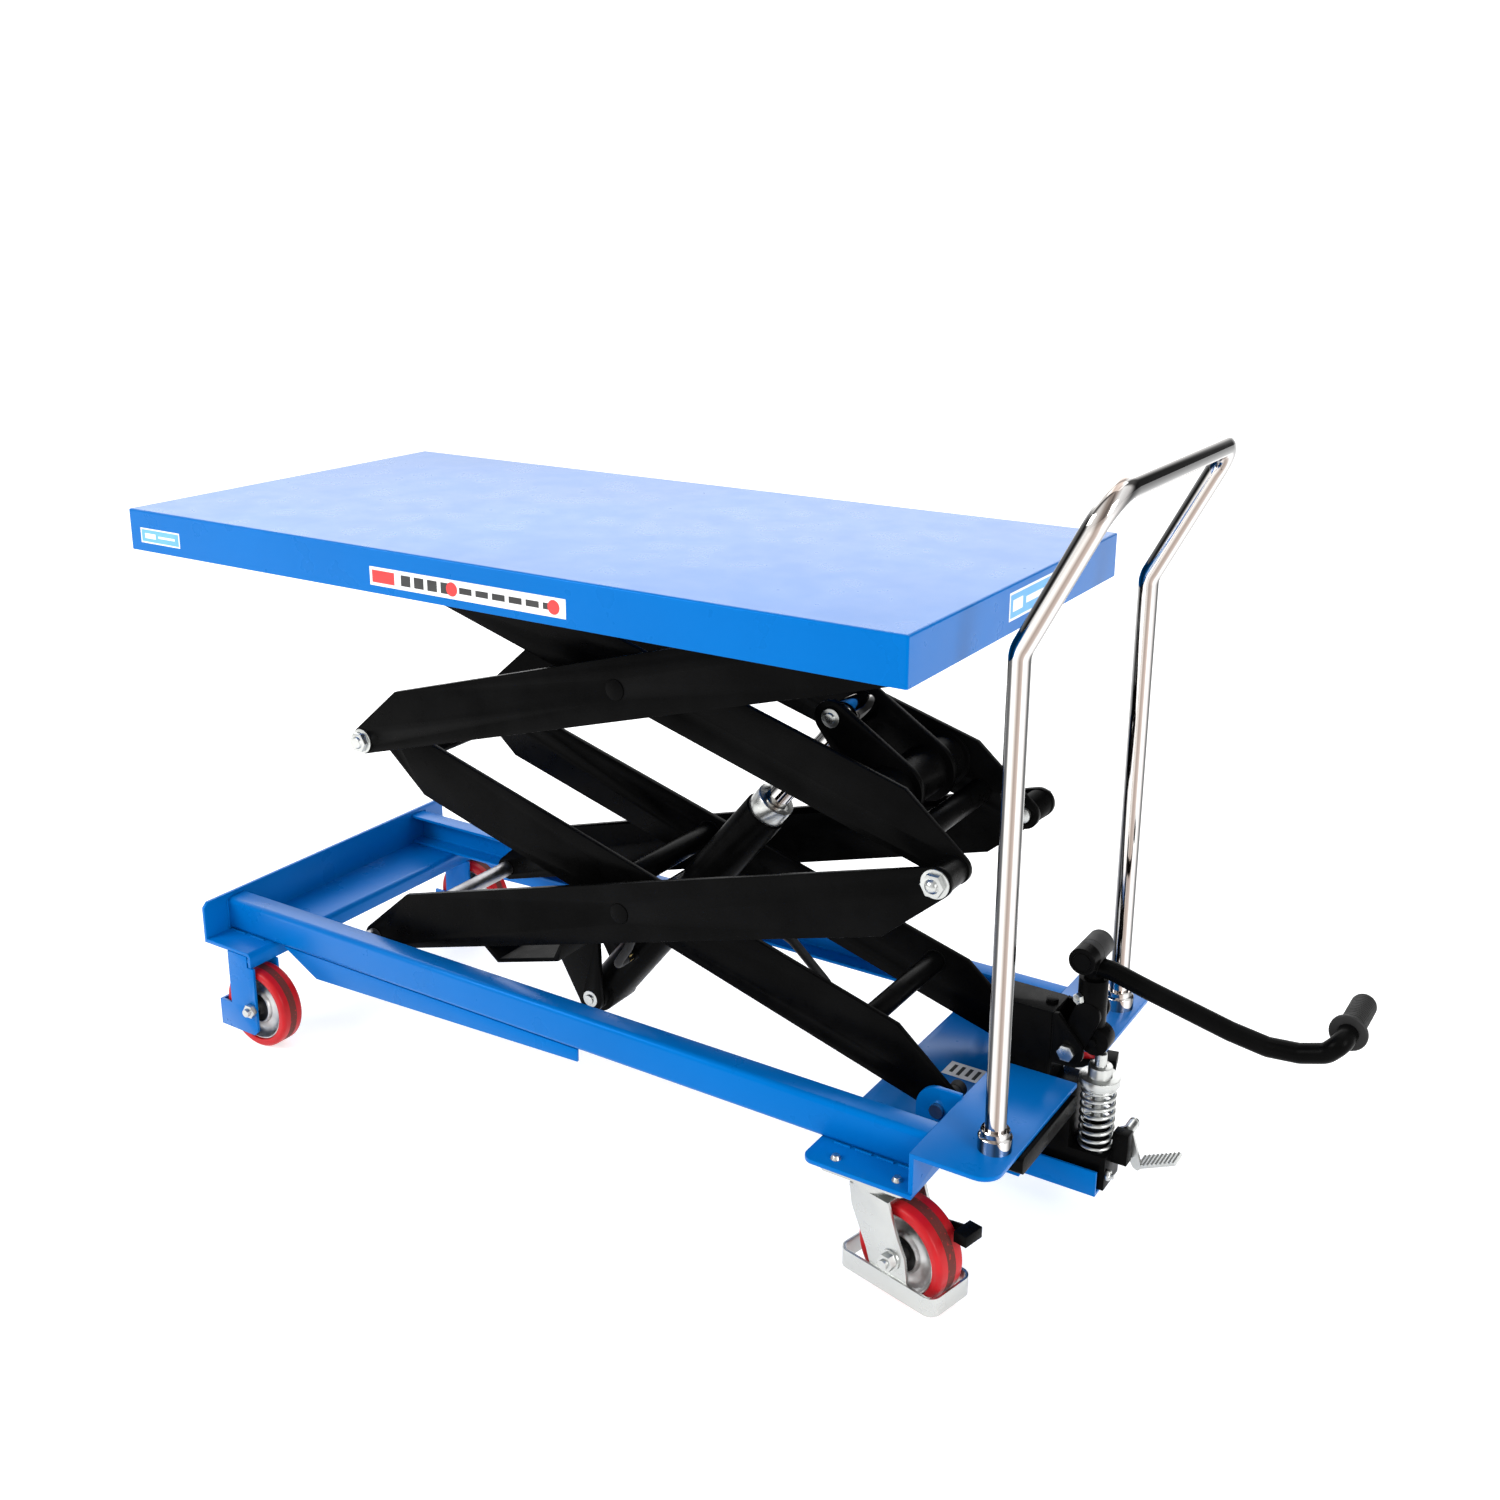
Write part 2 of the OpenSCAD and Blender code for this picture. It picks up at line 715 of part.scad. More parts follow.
// Plates between the rear chassis plate and the caster heads, with their swivel kingpins.
module caster_top_plates() {
    color("#c3c6ca") placed() both_sides() {
        translate([caster_plate_centre[0], caster_plate_centre[1], low_plate_bottom - 6])
            linear_extrude(6) round_rect(-caster_plate_size / 2, caster_plate_size / 2, 8);
        translate([swivel[0], swivel[1], caster_head_z + 2]) cylinder(d = 20, h = low_plate_bottom - 6 - caster_head_z - 2);
    }
}

module chassis_bolts() {
    head_h = 5;
    head_d = 14;
    bolt_y = [195, 247];
    outer_y = front_bracket_y[1] + front_bracket_sheet;
    ear_y = pump_half_w + 7;
    color("#c9ccd0") placed() both_sides() {
        for (i = [-1, 1], y = bolt_y)
            translate([
                caster_plate_centre[0] + i * caster_bolt_spacing / 2, y,
                y < rail_y ? low_plate_top + rail_sheet : low_plate_top
            ]) cylinder(d1 = head_d, d2 = head_d - 5, h = head_h);
        at(front_axle) {
            bar_y(front_axle_d, front_bracket_y[0] - 8, outer_y + 14);
            translate([0, outer_y, 0]) rotate([-90, 0, 0]) cylinder(d = 22, h = 8, $fn = 6);
            translate([0, front_bracket_y[0] - 8, 0]) rotate([-90, 0, 0]) cylinder(d = 22, h = 8, $fn = 6);
        }
    }
    color("#c9ccd0") placed() translate([0, pump_y, 0]) at(lever_pivot) {
        bar_y(lever_pivot_d, -pump_half_w, pump_half_w);
        for (y = [-ear_y, pump_half_w]) translate([0, y, 0]) rotate([-90, 0, 0]) cylinder(d = 22, h = 7, $fn = 6);
    }
}

module under_plate_bar() {
    bar_z = [high_plate_top - plate_sheet - 22, high_plate_top - plate_sheet];
    color("#1c1c1e") placed() plate_yz(700, 22) round_rect([-195, bar_z[0]], [-30, bar_z[1]], 6);
}

module push_handle() {
    legs = [
        [handle_x, -handle_y, high_plate_top], [handle_x, -handle_y, handle_bend],
        [handle_top_x, -handle_y, handle_top], [handle_top_x, handle_y, handle_top],
        [handle_x, handle_y, handle_bend], [handle_x, handle_y, high_plate_top]
    ];
    color("#d8dadd") placed() sweep(rounded(legs, [35, 50, 50, 35], 7), handle_d, 24);
}

module handle_collars() {
    collar_h = 26;
    color("#d8dadd") placed() both_sides() translate([handle_x, handle_y, high_plate_top]) difference() {
        cylinder(d = 40, h = collar_h);
        translate([0, 0, -cut]) cylinder(d = handle_d + fit, h = collar_h + 2 * cut);
    }
}

// ---- Wheels ----

// A wheel about the Y axis, centred on y = 0: the tread, or the core with its axle hole.
module tread(w) {
    rotate([90, 0, 0]) rotate_extrude() difference() {
        round_rect([wheel_d / 2 - 16, -w / 2], [wheel_d / 2, w / 2], 5);
        translate([0, -w / 2 - cut]) square([wheel_d / 2 - 12, w + 2 * cut]);
    }
}

module core(w, axle_d) {
    difference() {
        union() {
            bar_y(wheel_d - 24, -w / 2 + 5, w / 2 - 5);
            bar_y(44, -w / 2 + 1, w / 2 - 1);
        }
        for (s = [0, 1]) mirror([0, s, 0]) difference() {
            bar_y(wheel_d - 38, w / 2 - 10, w / 2 + cut);
            bar_y(44, w / 2 - 10, w / 2 + cut);
        }
        bar_y(axle_d + fit, -w, w);
    }
}

module front_wheel_place(right) placed() on_side(right) translate([0, front_wheel_y, 0]) at(front_axle) children();

module front_tyre(right) color("#b3261e") front_wheel_place(right) tread(front_wheel_w);

module front_hub(right) color("#b9bcc0") front_wheel_place(right) core(front_wheel_w, front_axle_d);

// Caster frame: origin on the swivel axis at floor level, +X towards the axle.
module caster_place(right) {
    placed() on_side(right) translate([swivel[0], swivel[1], 0]) rotate([0, 0, caster_yaw]) children();
}

module caster_fork(right) {
    axle = [caster_trail, wheel_d / 2];
    outer = fork_inner + fork_sheet;
    guard_out = outer + 3.5;
    guard_x = [-31, 114];
    nut_h = 9;
    washer_h = 3;
    color("#c3c6ca") caster_place(right) {
        difference() {
            union() {
                translate([0, 0, caster_head_z]) cylinder(d = 72, h = 13.5);
                box([-18, -outer, caster_head_z], [41, outer, caster_head_z + 5]);
            }
            translate([0, 0, caster_head_z - cut]) cylinder(d = 20 + 2 * gap, h = 20);
        }
        both_sides() plate_xz(fork_inner, fork_sheet) polygon([
            [-18, caster_head_z + 5], [41, caster_head_z + 5], [48, 114], [57, 92], [68, 71], [72, 47],
            [73, guard_z[0]], [28, guard_z[0]], [18, 36], [10, 59], [-1, 80], [-14, 106]
        ]);
        at(axle) {
            bar_y(caster_axle_d, -outer - washer_h - nut_h - 5, outer + washer_h + nut_h + 5);
            both_sides() bar_y(26, outer, outer + washer_h);
            both_sides() translate([0, outer + washer_h, 0]) rotate([-90, 0, 0]) cylinder(d = 22, h = nut_h, $fn = 6);
        }
        translate([0, 0, guard_z[0]]) linear_extrude(guard_z[1] - guard_z[0]) difference() {
            round_rect([guard_x[0], -guard_out], [guard_x[1], guard_out], 14);
            round_rect([guard_x[0] + 3, 3.5 - guard_out], [guard_x[1] - 3, guard_out - 3.5], 11);
        }
    }
}

module caster_wheel_place(right) caster_place(right) at([caster_trail, wheel_d / 2]) children();

module caster_tyre(right) color("#b3261e") caster_wheel_place(right) tread(caster_wheel_w);

module caster_hub(right) color("#b9bcc0") caster_wheel_place(right) core(caster_wheel_w, caster_axle_d);

module brake_pedal(right) {
    arm_y = 24.5;
    arm_w = 3;
    tread_low = [108, -34, 98];
    tread_high = [126, -4, 112];
    color("#1c1c1e") caster_place(right) {
        plate_xz(-arm_y - arm_w, arm_w) polygon([[54, 88], [58, 84], [112, 100], [112, 110], [66, 100], [58, 100]]);
        box(tread_low, tread_high);
    }
}

// ---- Pump ----

module pump_tank() {
    low = [590, pump_y - pump_half_w, block_z[1]];
    high = [674, pump_y + pump_half_w, 281.5];
    color("#1c1c1e") placed() {
        translate([0, 0, low[2]]) linear_extrude(high[2] - low[2])
            round_rect([low[0], low[1]], [high[0], high[1]], 5);
        translate([662, pump_y, high[2]]) cylinder(d = 16, h = 5, $fn = 6);
    }
}

module pump_block() {
    color("#232326") placed() {
        box([650, pump_y - pump_half_w, block_z[0]], [752, pump_y + pump_half_w, block_z[1]]);
        box([674, pump_y - pump_half_w, block_z[1] - cut], [703, pump_y + pump_half_w, 184]);
        difference() {
            translate([plunger_x, pump_y, block_z[1]]) cylinder(d = 34, h = 30);
            translate([plunger_x, pump_y, block_z[1] + 4]) cylinder(d = plunger_d + fit, h = 40);
        }
        difference() {
            box([752, pump_y - 5, block_z[1] - 16], [772, pump_y + 13, release_pivot[1] + 10]);
            at(release_pivot) bar_y(release_d + fit, pump_y, pump_y + 40);
        }
    }
}

module pump_channel() {
    wall = 4;
    side = [-11, 65];
    hanger = [-22, 76];
    bottom = block_z[0] - wall;
    wall_top = 88;
    color("#0d6fd0") placed() {
        plate_yz(646, 100) difference() {
            translate([side[0], bottom]) square([side[1] - side[0], wall_top - bottom]);
            translate([side[0] + wall, bottom + wall]) square([side[1] - side[0] - 2 * wall, wall_top - bottom]);
        }
        box([580, hanger[0], bottom], [650, hanger[1], bottom + wall]);
        for (y = [hanger[0], hanger[1] - wall]) box([580, y, bottom], [608, y + wall, low_plate_bottom]);
    }
}

// Gussets on the tank that carry the lever's pivot bolt.
module pump_ears() {
    ear_w = 6;
    color("#1c1c1e") placed() for (y = [pump_y - pump_half_w, pump_y + pump_half_w - ear_w]) difference() {
        plate_xz(y, ear_w) {
            polygon([[674, 214], [674, 281.5], [680, 281.5], [711, 245], [694, 214]]);
            translate(lever_pivot) circle(r = 20);
        }
        at(lever_pivot) bar_y(lever_pivot_d + fit, y - cut, y + ear_w + cut);
        box([660, y - cut, 200], [674, y + ear_w + cut, 290]);
    }
}

// The return spring, as a stack of rings between the block and the plunger's cap.
module pump_spring() {
    low = block_z[1];
    step = (spring_top - low - spring_wire) / spring_turns;
    color("#8f9296") placed() translate([plunger_x, pump_y, low]) {
        for (i = [0 : spring_turns])
            translate([0, 0, spring_wire / 2 + i * step]) rotate_extrude()
                translate([(spring_d - spring_wire) / 2, 0]) circle(d = spring_wire, $fn = 16);
        for (s = [-1, 1]) translate([s * (spring_d - spring_wire) / 2, 0, spring_wire / 2])
            cylinder(d = 2, h = spring_top - low - spring_wire, $fn = 16);
    }
}

module plunger() {
    color("#c9ccd0") placed() translate([plunger_x, pump_y, 0]) {
        translate([0, 0, block_z[1] + 40]) cylinder(d = plunger_d, h = spring_top - block_z[1] - 30);
        translate([0, 0, spring_top]) cylinder(d = 51, h = 10);
        translate([0, 0, spring_top + 10]) cylinder(d = 30, h = 14);
        translate([0, 0, spring_top + 24]) cylinder(d = plunger_d, h = 17);
    }
}

// Rocker that turns on the pivot bolt, presses the plunger and holds the lever.
module lever_socket() {
    half_w = 19;
    wall = 6;
    roller_at = [722, 250];
    roller_r = 18.5;
    color("#1c1c1e") placed() translate([0, pump_y, 0]) {
        difference() {
            union() {
                at(lever_pivot) bar_y(30, -half_w, half_w);
                for (y = [-half_w, half_w - wall]) plate_xz(y, wall) link(lever_pivot, 15, [713, 285], 17);
                translate([713, 0, 268]) cylinder(d = 36, h = 62);
            }
            at(lever_pivot) bar_y(lever_pivot_d + fit, -half_w - cut, half_w + cut);
            translate([713, 0, 269]) cylinder(d = 24 + fit, h = 62);
            at(roller_at) bar_y(2 * roller_r + 2, wall - half_w, half_w - wall);
        }
        at(roller_at) {
            bar_y(2 * roller_r, wall - half_w + gap, half_w - wall - gap);
            bar_y(10, -half_w, half_w);
        }
    }
}

// Lever tube with the cross bar that carries the foot roller.
module pump_lever() {
    color("#1c1c1e") placed() {
        sweep(rounded(lever_route, [for (p = lever_route) 22], 5), 24, 16);
        at(foot_bar) {
            bar_y(foot_roller_d, foot_roller_y[0], foot_roller_y[1]);
            bar_y(16, foot_roller_y[1], foot_roller_y[2]);
        }
    }
}

// Rubber sleeves: the foot roller's far part and the hand grip.
module lever_grip() {
    color("#3a3b3d") placed() {
        at(foot_bar) difference() {
            bar_y(foot_roller_d, foot_roller_y[1], foot_roller_y[2]);
            bar_y(16 + fit, foot_roller_y[1] - cut, foot_roller_y[2] + cut);
        }
        at(grip_axis) difference() {
            union() {
                bar_y(30, 56, 135);
                bar_y(grip_flange_d, 52, 58);
            }
            bar_y(24 + fit, 50, 131);
        }
    }
}

module release_pedal() {
    plate_low = [779, 79];
    plate_high = [827, 101];
    arm_y = 42;
    color("#b9bcc0") placed() {
        at(release_pivot) bar_y(release_d, pump_y, 76);
        plate_xz(arm_y, 5) link(release_pivot, 11, plate_low, 6);
        plate_xz(arm_y, 28) link(plate_low, 3, plate_high, 3);
    }
}

// ---- Hoses ----

module hose(route) {
    color("#1c1c1e") placed() sweep(rounded(route, [for (p = route) 22], 5), hose_d, 10, [0.3, 0.2, 1]);
}

module hose_cylinder() hose(hose_cylinder_route);

// Ends in an eye that turns on the fixed pivot's axis.
module hose_arm() {
    difference() {
        union() {
            hose(hose_arm_route);
            color("#1c1c1e") placed() at(base_pivot) bar_y(hose_eye_d, hose_arm_y - hose_d / 2, hose_arm_y + hose_d / 2);
        }
        placed() at(base_pivot) bar_y(hose_pin_d + 2 * gap, hose_arm_y - hose_d, hose_arm_y + hose_d);
    }
}

// Starts with the pin of that eye.
module hose_base() {
    hose(hose_base_route);
    color("#1c1c1e") placed() at(base_pivot) {
        bar_y(hose_pin_d, hose_arm_y - hose_d / 2 + 1, hose_base_y);
        bar_y(hose_eye_d, hose_base_y - hose_d / 2, hose_base_y + hose_d / 2);
    }
}

platform_deck();
platform_rails();
platform_pivot_pins();
upper_outer_arms();
upper_centre_pins();
left_mid_pins();
upper_inner_arms();
torsion_tube();
upper_cylinder_pins();
upper_roller_shaft();
roller(platform_roller, false);  // platform_roller_left
roller(platform_roller, true);  // platform_roller_right
lower_outer_arms();
lower_centre_pins();
right_mid_pins();
lower_roller_shaft();
cross_channel();
lower_cylinder_pin();
hose_cylinder();
roller(base_roller, false);  // base_roller_left
roller(base_roller, true);  // base_roller_right
lower_inner_arms();
lower_inner_tubes();
hose_arm();
cylinder_barrel();
cylinder_gland();
cylinder_rod();
side_rails();
front_cross_plate();
front_wheel_brackets();
rear_plate();
base_pivot_pins();
chassis_bolts();
caster_top_plates();
under_plate_bar();
push_handle();
handle_collars();
front_tyre(false);  // front_tyre_left
front_tyre(true);  // front_tyre_right
front_hub(false);  // front_hub_left
front_hub(true);  // front_hub_right
caster_fork(false);  // caster_fork_left
caster_fork(true);  // caster_fork_right
caster_tyre(false);  // caster_tyre_left
caster_tyre(true);  // caster_tyre_right
caster_hub(false);  // caster_hub_left
caster_hub(true);  // caster_hub_right
brake_pedal(false);  // brake_pedal_left
brake_pedal(true);  // brake_pedal_right
pump_tank();
pump_block();
pump_channel();
pump_ears();
pump_spring();
plunger();
lever_socket();
pump_lever();
lever_grip();
release_pedal();
hose_base();
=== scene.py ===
"""Looks of the scissor lift table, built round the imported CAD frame."""

import json
import math
import random

import bmesh
import bpy
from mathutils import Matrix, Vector


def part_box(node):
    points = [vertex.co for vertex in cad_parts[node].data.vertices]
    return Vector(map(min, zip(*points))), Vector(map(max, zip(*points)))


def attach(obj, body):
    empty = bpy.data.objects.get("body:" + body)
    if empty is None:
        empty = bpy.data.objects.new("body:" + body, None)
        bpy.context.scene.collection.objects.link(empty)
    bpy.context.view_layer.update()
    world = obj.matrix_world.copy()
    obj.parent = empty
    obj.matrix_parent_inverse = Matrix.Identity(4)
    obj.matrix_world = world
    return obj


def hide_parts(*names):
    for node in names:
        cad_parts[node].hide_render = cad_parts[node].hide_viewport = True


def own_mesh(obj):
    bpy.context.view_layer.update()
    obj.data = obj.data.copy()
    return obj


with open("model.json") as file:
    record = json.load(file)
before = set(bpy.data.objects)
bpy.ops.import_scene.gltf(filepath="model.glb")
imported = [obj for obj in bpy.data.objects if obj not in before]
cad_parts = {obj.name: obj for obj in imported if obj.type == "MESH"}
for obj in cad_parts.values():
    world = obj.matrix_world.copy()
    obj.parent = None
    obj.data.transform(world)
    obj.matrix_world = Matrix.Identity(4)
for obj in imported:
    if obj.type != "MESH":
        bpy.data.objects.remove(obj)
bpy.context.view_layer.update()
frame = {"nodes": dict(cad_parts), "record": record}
NODES = frame["nodes"]
UP = (0, 0, 1)
ACROSS = (0, 1, 0)
random.seed(7)


# ---- Camera, floor and light ----


SENSOR, LENS = 36.0, 39.32
LENS_SHIFT = (0.0166, -0.0681)
CAMERA_PLACE = (1.1152, -1.7372, 1.2675)
CAMERA_TILT, CAMERA_TURN = math.radians(73.99), math.radians(33.07)
FLOOR_SIZE = 60
FLOOR_GLOW = 0.62
SKY_STRENGTH = 1.15

# Grey of the surroundings by compass direction, as shares of a full turn.
SKY_BANDS = [
    (0.0, 0.95), (0.04, 0.12), (0.09, 0.12), (0.14, 0.95), (0.30, 0.9), (0.36, 0.3), (0.42, 0.9),
    (0.60, 0.95), (0.64, 0.1), (0.71, 0.1), (0.745, 1.0), (1.0, 0.95),
]


def make_camera():
    data = bpy.data.cameras.new("camera")
    data.sensor_width = SENSOR
    data.lens = LENS
    data.shift_x, data.shift_y = LENS_SHIFT
    data.dof.use_dof = False
    camera = bpy.data.objects.new("camera", data)
    camera.location = CAMERA_PLACE
    camera.rotation_euler = (CAMERA_TILT, 0, CAMERA_TURN)
    bpy.context.scene.collection.objects.link(camera)
    bpy.context.scene.camera = camera


def make_floor():
    """A wide white floor with some light of its own, so that shadows on it stay faint."""
    bpy.ops.mesh.primitive_plane_add(size=FLOOR_SIZE, location=(0, 0, 0))
    floor = bpy.context.object
    floor.name = "floor"
    mat, _, _, shader = new_material("floor_white", grey(0.72), 0.9)
    shader.inputs["Specular IOR Level"].default_value = 0.0
    shader.inputs["Emission Color"].default_value = (1, 1, 1, 1)
    shader.inputs["Emission Strength"].default_value = FLOOR_GLOW
    floor.data.materials.append(mat)


def area_light(name, place, target, size, power):
    data = bpy.data.lights.new(name, "AREA")
    data.shape = "RECTANGLE"
    data.size, data.size_y = size
    data.energy = power
    lamp = bpy.data.objects.new(name, data)
    lamp.location = place
    lamp.rotation_euler = (Vector(target) - Vector(place)).to_track_quat("-Z", "Y").to_euler()
    bpy.context.scene.collection.objects.link(lamp)


def make_light():
    """White surroundings with darker upright bands at the sides, as in a studio, and soft lamps."""
    world = bpy.data.worlds.new("studio")
    bpy.context.scene.world = world
    world.use_nodes = True
    nodes, links = world.node_tree.nodes, world.node_tree.links
    coords = nodes.new("ShaderNodeTexCoord")
    split = nodes.new("ShaderNodeSeparateXYZ")
    angle = nodes.new("ShaderNodeMath")
    angle.operation = "ARCTAN2"
    share = nodes.new("ShaderNodeMath")
    share.operation = "MULTIPLY_ADD"
    share.inputs[1].default_value = 0.5 / math.pi
    share.inputs[2].default_value = 0.5
    bands = nodes.new("ShaderNodeValToRGB")
    fill_ramp(bands, [(place, grey(value)) for place, value in SKY_BANDS])
    links.new(coords.outputs["Generated"], split.inputs["Vector"])
    links.new(split.outputs["Y"], angle.inputs[0])
    links.new(split.outputs["X"], angle.inputs[1])
    links.new(angle.outputs[0], share.inputs[0])
    links.new(share.outputs[0], bands.inputs["Fac"])
    back = nodes["Background"]
    back.inputs["Strength"].default_value = SKY_STRENGTH
    links.new(bands.outputs["Color"], back.inputs["Color"])
    area_light("key", (-2.4, -3.0, 2.6), (0, 0, 0.4), (2.2, 1.6), 120)
    area_light("side", (3.0, -1.2, 1.6), (0, 0, 0.4), (1.0, 1.6), 45)
    area_light("top", (0.0, 0.8, 4.0), (0, 0, 0.6), (3.0, 2.0), 30)
    area_light("behind", (-2.4, 3.7, 2.9), (0, 0, 0.8), (6.5, 3.0), 95)
    bpy.context.scene.view_settings.view_transform = "Standard"


# ---- Materials ----


def grey(value):
    return (value, value, value)


def new_material(name, colour, roughness, metallic=0.0):
    mat = bpy.data.materials.new(name)
    mat.use_nodes = True
    nodes, links = mat.node_tree.nodes, mat.node_tree.links
    shader = nodes["Principled BSDF"]
    shader.inputs["Base Color"].default_value = (*colour, 1)
    shader.inputs["Roughness"].default_value = roughness
    shader.inputs["Metallic"].default_value = metallic
    return mat, nodes, links, shader


def noise(nodes, links, scale, detail):
    texture = nodes.new("ShaderNodeTexNoise")
    texture.inputs["Scale"].default_value = scale
    texture.inputs["Detail"].default_value = detail
    coords = nodes.new("ShaderNodeTexCoord")
    links.new(coords.outputs["Object"], texture.inputs["Vector"])
    return texture.outputs["Fac"]


def ramp(nodes, links, source, low, high, stops=(0.35, 0.65)):
    node = nodes.new("ShaderNodeValToRGB")
    first, last = node.color_ramp.elements
    first.position, last.position = stops
    first.color = (*low, 1)
    last.color = (*high, 1)
    links.new(source, node.inputs["Fac"])
    return node.outputs["Color"]


def bump(nodes, links, source, strength, distance, shader):
    node = nodes.new("ShaderNodeBump")
    node.inputs["Strength"].default_value = strength
    node.inputs["Distance"].default_value = distance
    links.new(source, node.inputs["Height"])
    links.new(node.outputs["Normal"], shader.inputs["Normal"])


def fill_ramp(node, stops):
    """Sets a colour ramp's stops, each a place and a colour."""
    elements = node.color_ramp.elements
    elements.remove(elements[1])
    elements[0].position = stops[0][0]
    elements[0].color = (*stops[0][1], 1)
    for place, colour in stops[1:]:
        elements.new(place).color = (*colour, 1)


def surface(name, low, high, rough, metallic=0.0, patch=9.0, grain=900.0, strength=0.25):
    """A material whose colour and roughness drift in patches, with a fine grain in its relief."""
    mat, nodes, links, shader = new_material(name, low, rough[0], metallic)
    patches = noise(nodes, links, patch, 4.0)
    links.new(ramp(nodes, links, patches, low, high), shader.inputs["Base Color"])
    speckle = noise(nodes, links, patch * 4, 5.0)
    links.new(ramp(nodes, links, speckle, grey(rough[0]), grey(rough[1])), shader.inputs["Roughness"])
    bump(nodes, links, noise(nodes, links, grain, 2.0), strength, 0.0002, shader)
    return mat


def speckled(name, base, spots, rough, scale=260.0):
    """A dull material with small lighter spots, such as a scuffed tread."""
    mat, nodes, links, shader = new_material(name, base, rough)
    spotted = noise(nodes, links, scale, 4.0)
    links.new(ramp(nodes, links, spotted, base, spots, (0.62, 0.7)), shader.inputs["Base Color"])
    bump(nodes, links, noise(nodes, links, scale * 2, 2.0), 0.4, 0.0003, shader)
    return mat


MATERIALS = {
    "blue_paint": surface(
        "blue_powder_coat", (0.0, 0.112, 0.385), (0.0, 0.122, 0.415), (0.27, 0.31), patch=5, strength=0.06
    ),
    "black_paint": surface("black_paint", grey(0.0012), grey(0.0028), (0.26, 0.34), patch=14),
    "zinc": surface(
        "zinc_plate", (0.47, 0.48, 0.47), (0.55, 0.56, 0.54), (0.26, 0.33), 1.0, patch=12, grain=500,
        strength=0.08,
    ),
    "dark_steel": surface(
        "oiled_steel", (0.20, 0.20, 0.21), (0.33, 0.33, 0.34), (0.3, 0.45), 1.0, patch=25
    ),
    "chrome": surface(
        "bright_chrome", (0.62, 0.60, 0.58), (0.70, 0.68, 0.66), (0.05, 0.1), 1.0, strength=0.03
    ),
    "red_tread": surface(
        "red_polyurethane", (0.36, 0.004, 0.008), (0.45, 0.008, 0.012), (0.3, 0.42), patch=20, strength=0.1
    ),
    "hub_metal": surface(
        "cast_hub", (0.42, 0.42, 0.42), (0.62, 0.62, 0.61), (0.3, 0.46), 1.0, patch=40, grain=350,
        strength=0.6,
    ),
    "black_rubber": surface("black_rubber", grey(0.012), grey(0.022), (0.5, 0.66), grain=600),
    "scuffed_band": speckled("scuffed_band", (0.11, 0.022, 0.018), (0.34, 0.02, 0.02), 0.6),
    "bearing_black": surface("bearing_black", grey(0.008), grey(0.016), (0.4, 0.6), patch=60),
    "brass": surface("brass", (0.62, 0.44, 0.14), (0.72, 0.52, 0.2), (0.25, 0.4), 1.0, patch=60),
    "label_white": surface("label_white", grey(0.72), grey(0.8), (0.4, 0.5), patch=40),
    "label_blue": surface("label_blue", (0.10, 0.34, 0.72), (0.13, 0.38, 0.76), (0.4, 0.5), patch=40),
    "label_red": surface("label_red", (0.62, 0.02, 0.02), (0.7, 0.03, 0.03), (0.4, 0.5), patch=40),
    "label_black": surface("label_black", grey(0.01), grey(0.02), (0.4, 0.5), patch=40),
}


def set_input(material, name, value):
    MATERIALS[material].node_tree.nodes["Principled BSDF"].inputs[name].default_value = value


# Painted reflections: dark and light bands that stand for a studio's flags and walls, put into the
# chrome's base colour by how far the polished surface faces a fixed side.
PAINTED_REFLECTION_SIDE = (0.838, 0.546, 0.1)
PAINTED_REFLECTIONS = [
    (0.0, grey(0.3)), (0.05, grey(0.06)), (0.11, grey(0.08)), (0.17, (0.72, 0.70, 0.68)),
    (0.30, (0.62, 0.58, 0.55)), (0.40, (0.26, 0.21, 0.18)), (0.52, (0.34, 0.28, 0.25)),
    (0.62, (0.80, 0.79, 0.78)), (0.76, (0.55, 0.53, 0.52)), (0.85, grey(0.05)), (0.93, grey(0.07)),
    (0.98, (0.6, 0.6, 0.6)),
]


def paint_reflections(material):
    """Paints reflections into a polished tube's base colour: darker and lighter bands along its length,
    set by the way its surface faces, standing for reflected studio flags.
    """
    tree = MATERIALS[material].node_tree
    nodes, links = tree.nodes, tree.links
    geometry = nodes.new("ShaderNodeNewGeometry")
    facing = nodes.new("ShaderNodeVectorMath")
    facing.operation = "DOT_PRODUCT"
    facing.inputs[1].default_value = PAINTED_REFLECTION_SIDE
    share = nodes.new("ShaderNodeMath")
    share.operation = "MULTIPLY_ADD"
    share.inputs[1].default_value = 0.5
    share.inputs[2].default_value = 0.5
    reflection_ramp = nodes.new("ShaderNodeValToRGB")
    fill_ramp(reflection_ramp, PAINTED_REFLECTIONS)
    links.new(geometry.outputs["Normal"], facing.inputs[0])
    links.new(facing.outputs["Value"], share.inputs[0])
    links.new(share.outputs[0], reflection_ramp.inputs["Fac"])
    links.new(reflection_ramp.outputs["Color"], nodes["Principled BSDF"].inputs["Base Color"])


set_input("blue_paint", "Specular Tint", (0.0, 0.3, 1.0, 1.0))
set_input("black_paint", "Specular IOR Level", 0.025)
set_input("black_rubber", "Specular IOR Level", 0.2)
set_input("red_tread", "Specular IOR Level", 0.2)
set_input("scuffed_band", "Specular IOR Level", 0.15)
# The chrome's dark and light bands are painted reflections in its base colour.
paint_reflections("chrome")


def dress_nodes():
    """Gives every CAD node its slot's material."""
    slots = {entry["node"]: entry["material_slot"] for entry in frame["record"]["subparts"]}
    for name, obj in NODES.items():
        obj.data.materials.clear()
        obj.data.materials.append(MATERIALS[slots[name]])
        for face in obj.data.polygons:
            face.material_index = 0


# ---- Mesh helpers ----

PLATFORM_X = -0.209
MERGE_REACH = 2e-6
FLAT_ANGLE = math.radians(0.6)
HARD_ANGLE = math.radians(35)


def at(x, y, z):
    """A point given in millimetres from the floor under the platform's middle, in the frame's metres."""
    return Vector((x / 1000 + PLATFORM_X, y / 1000, z / 1000))


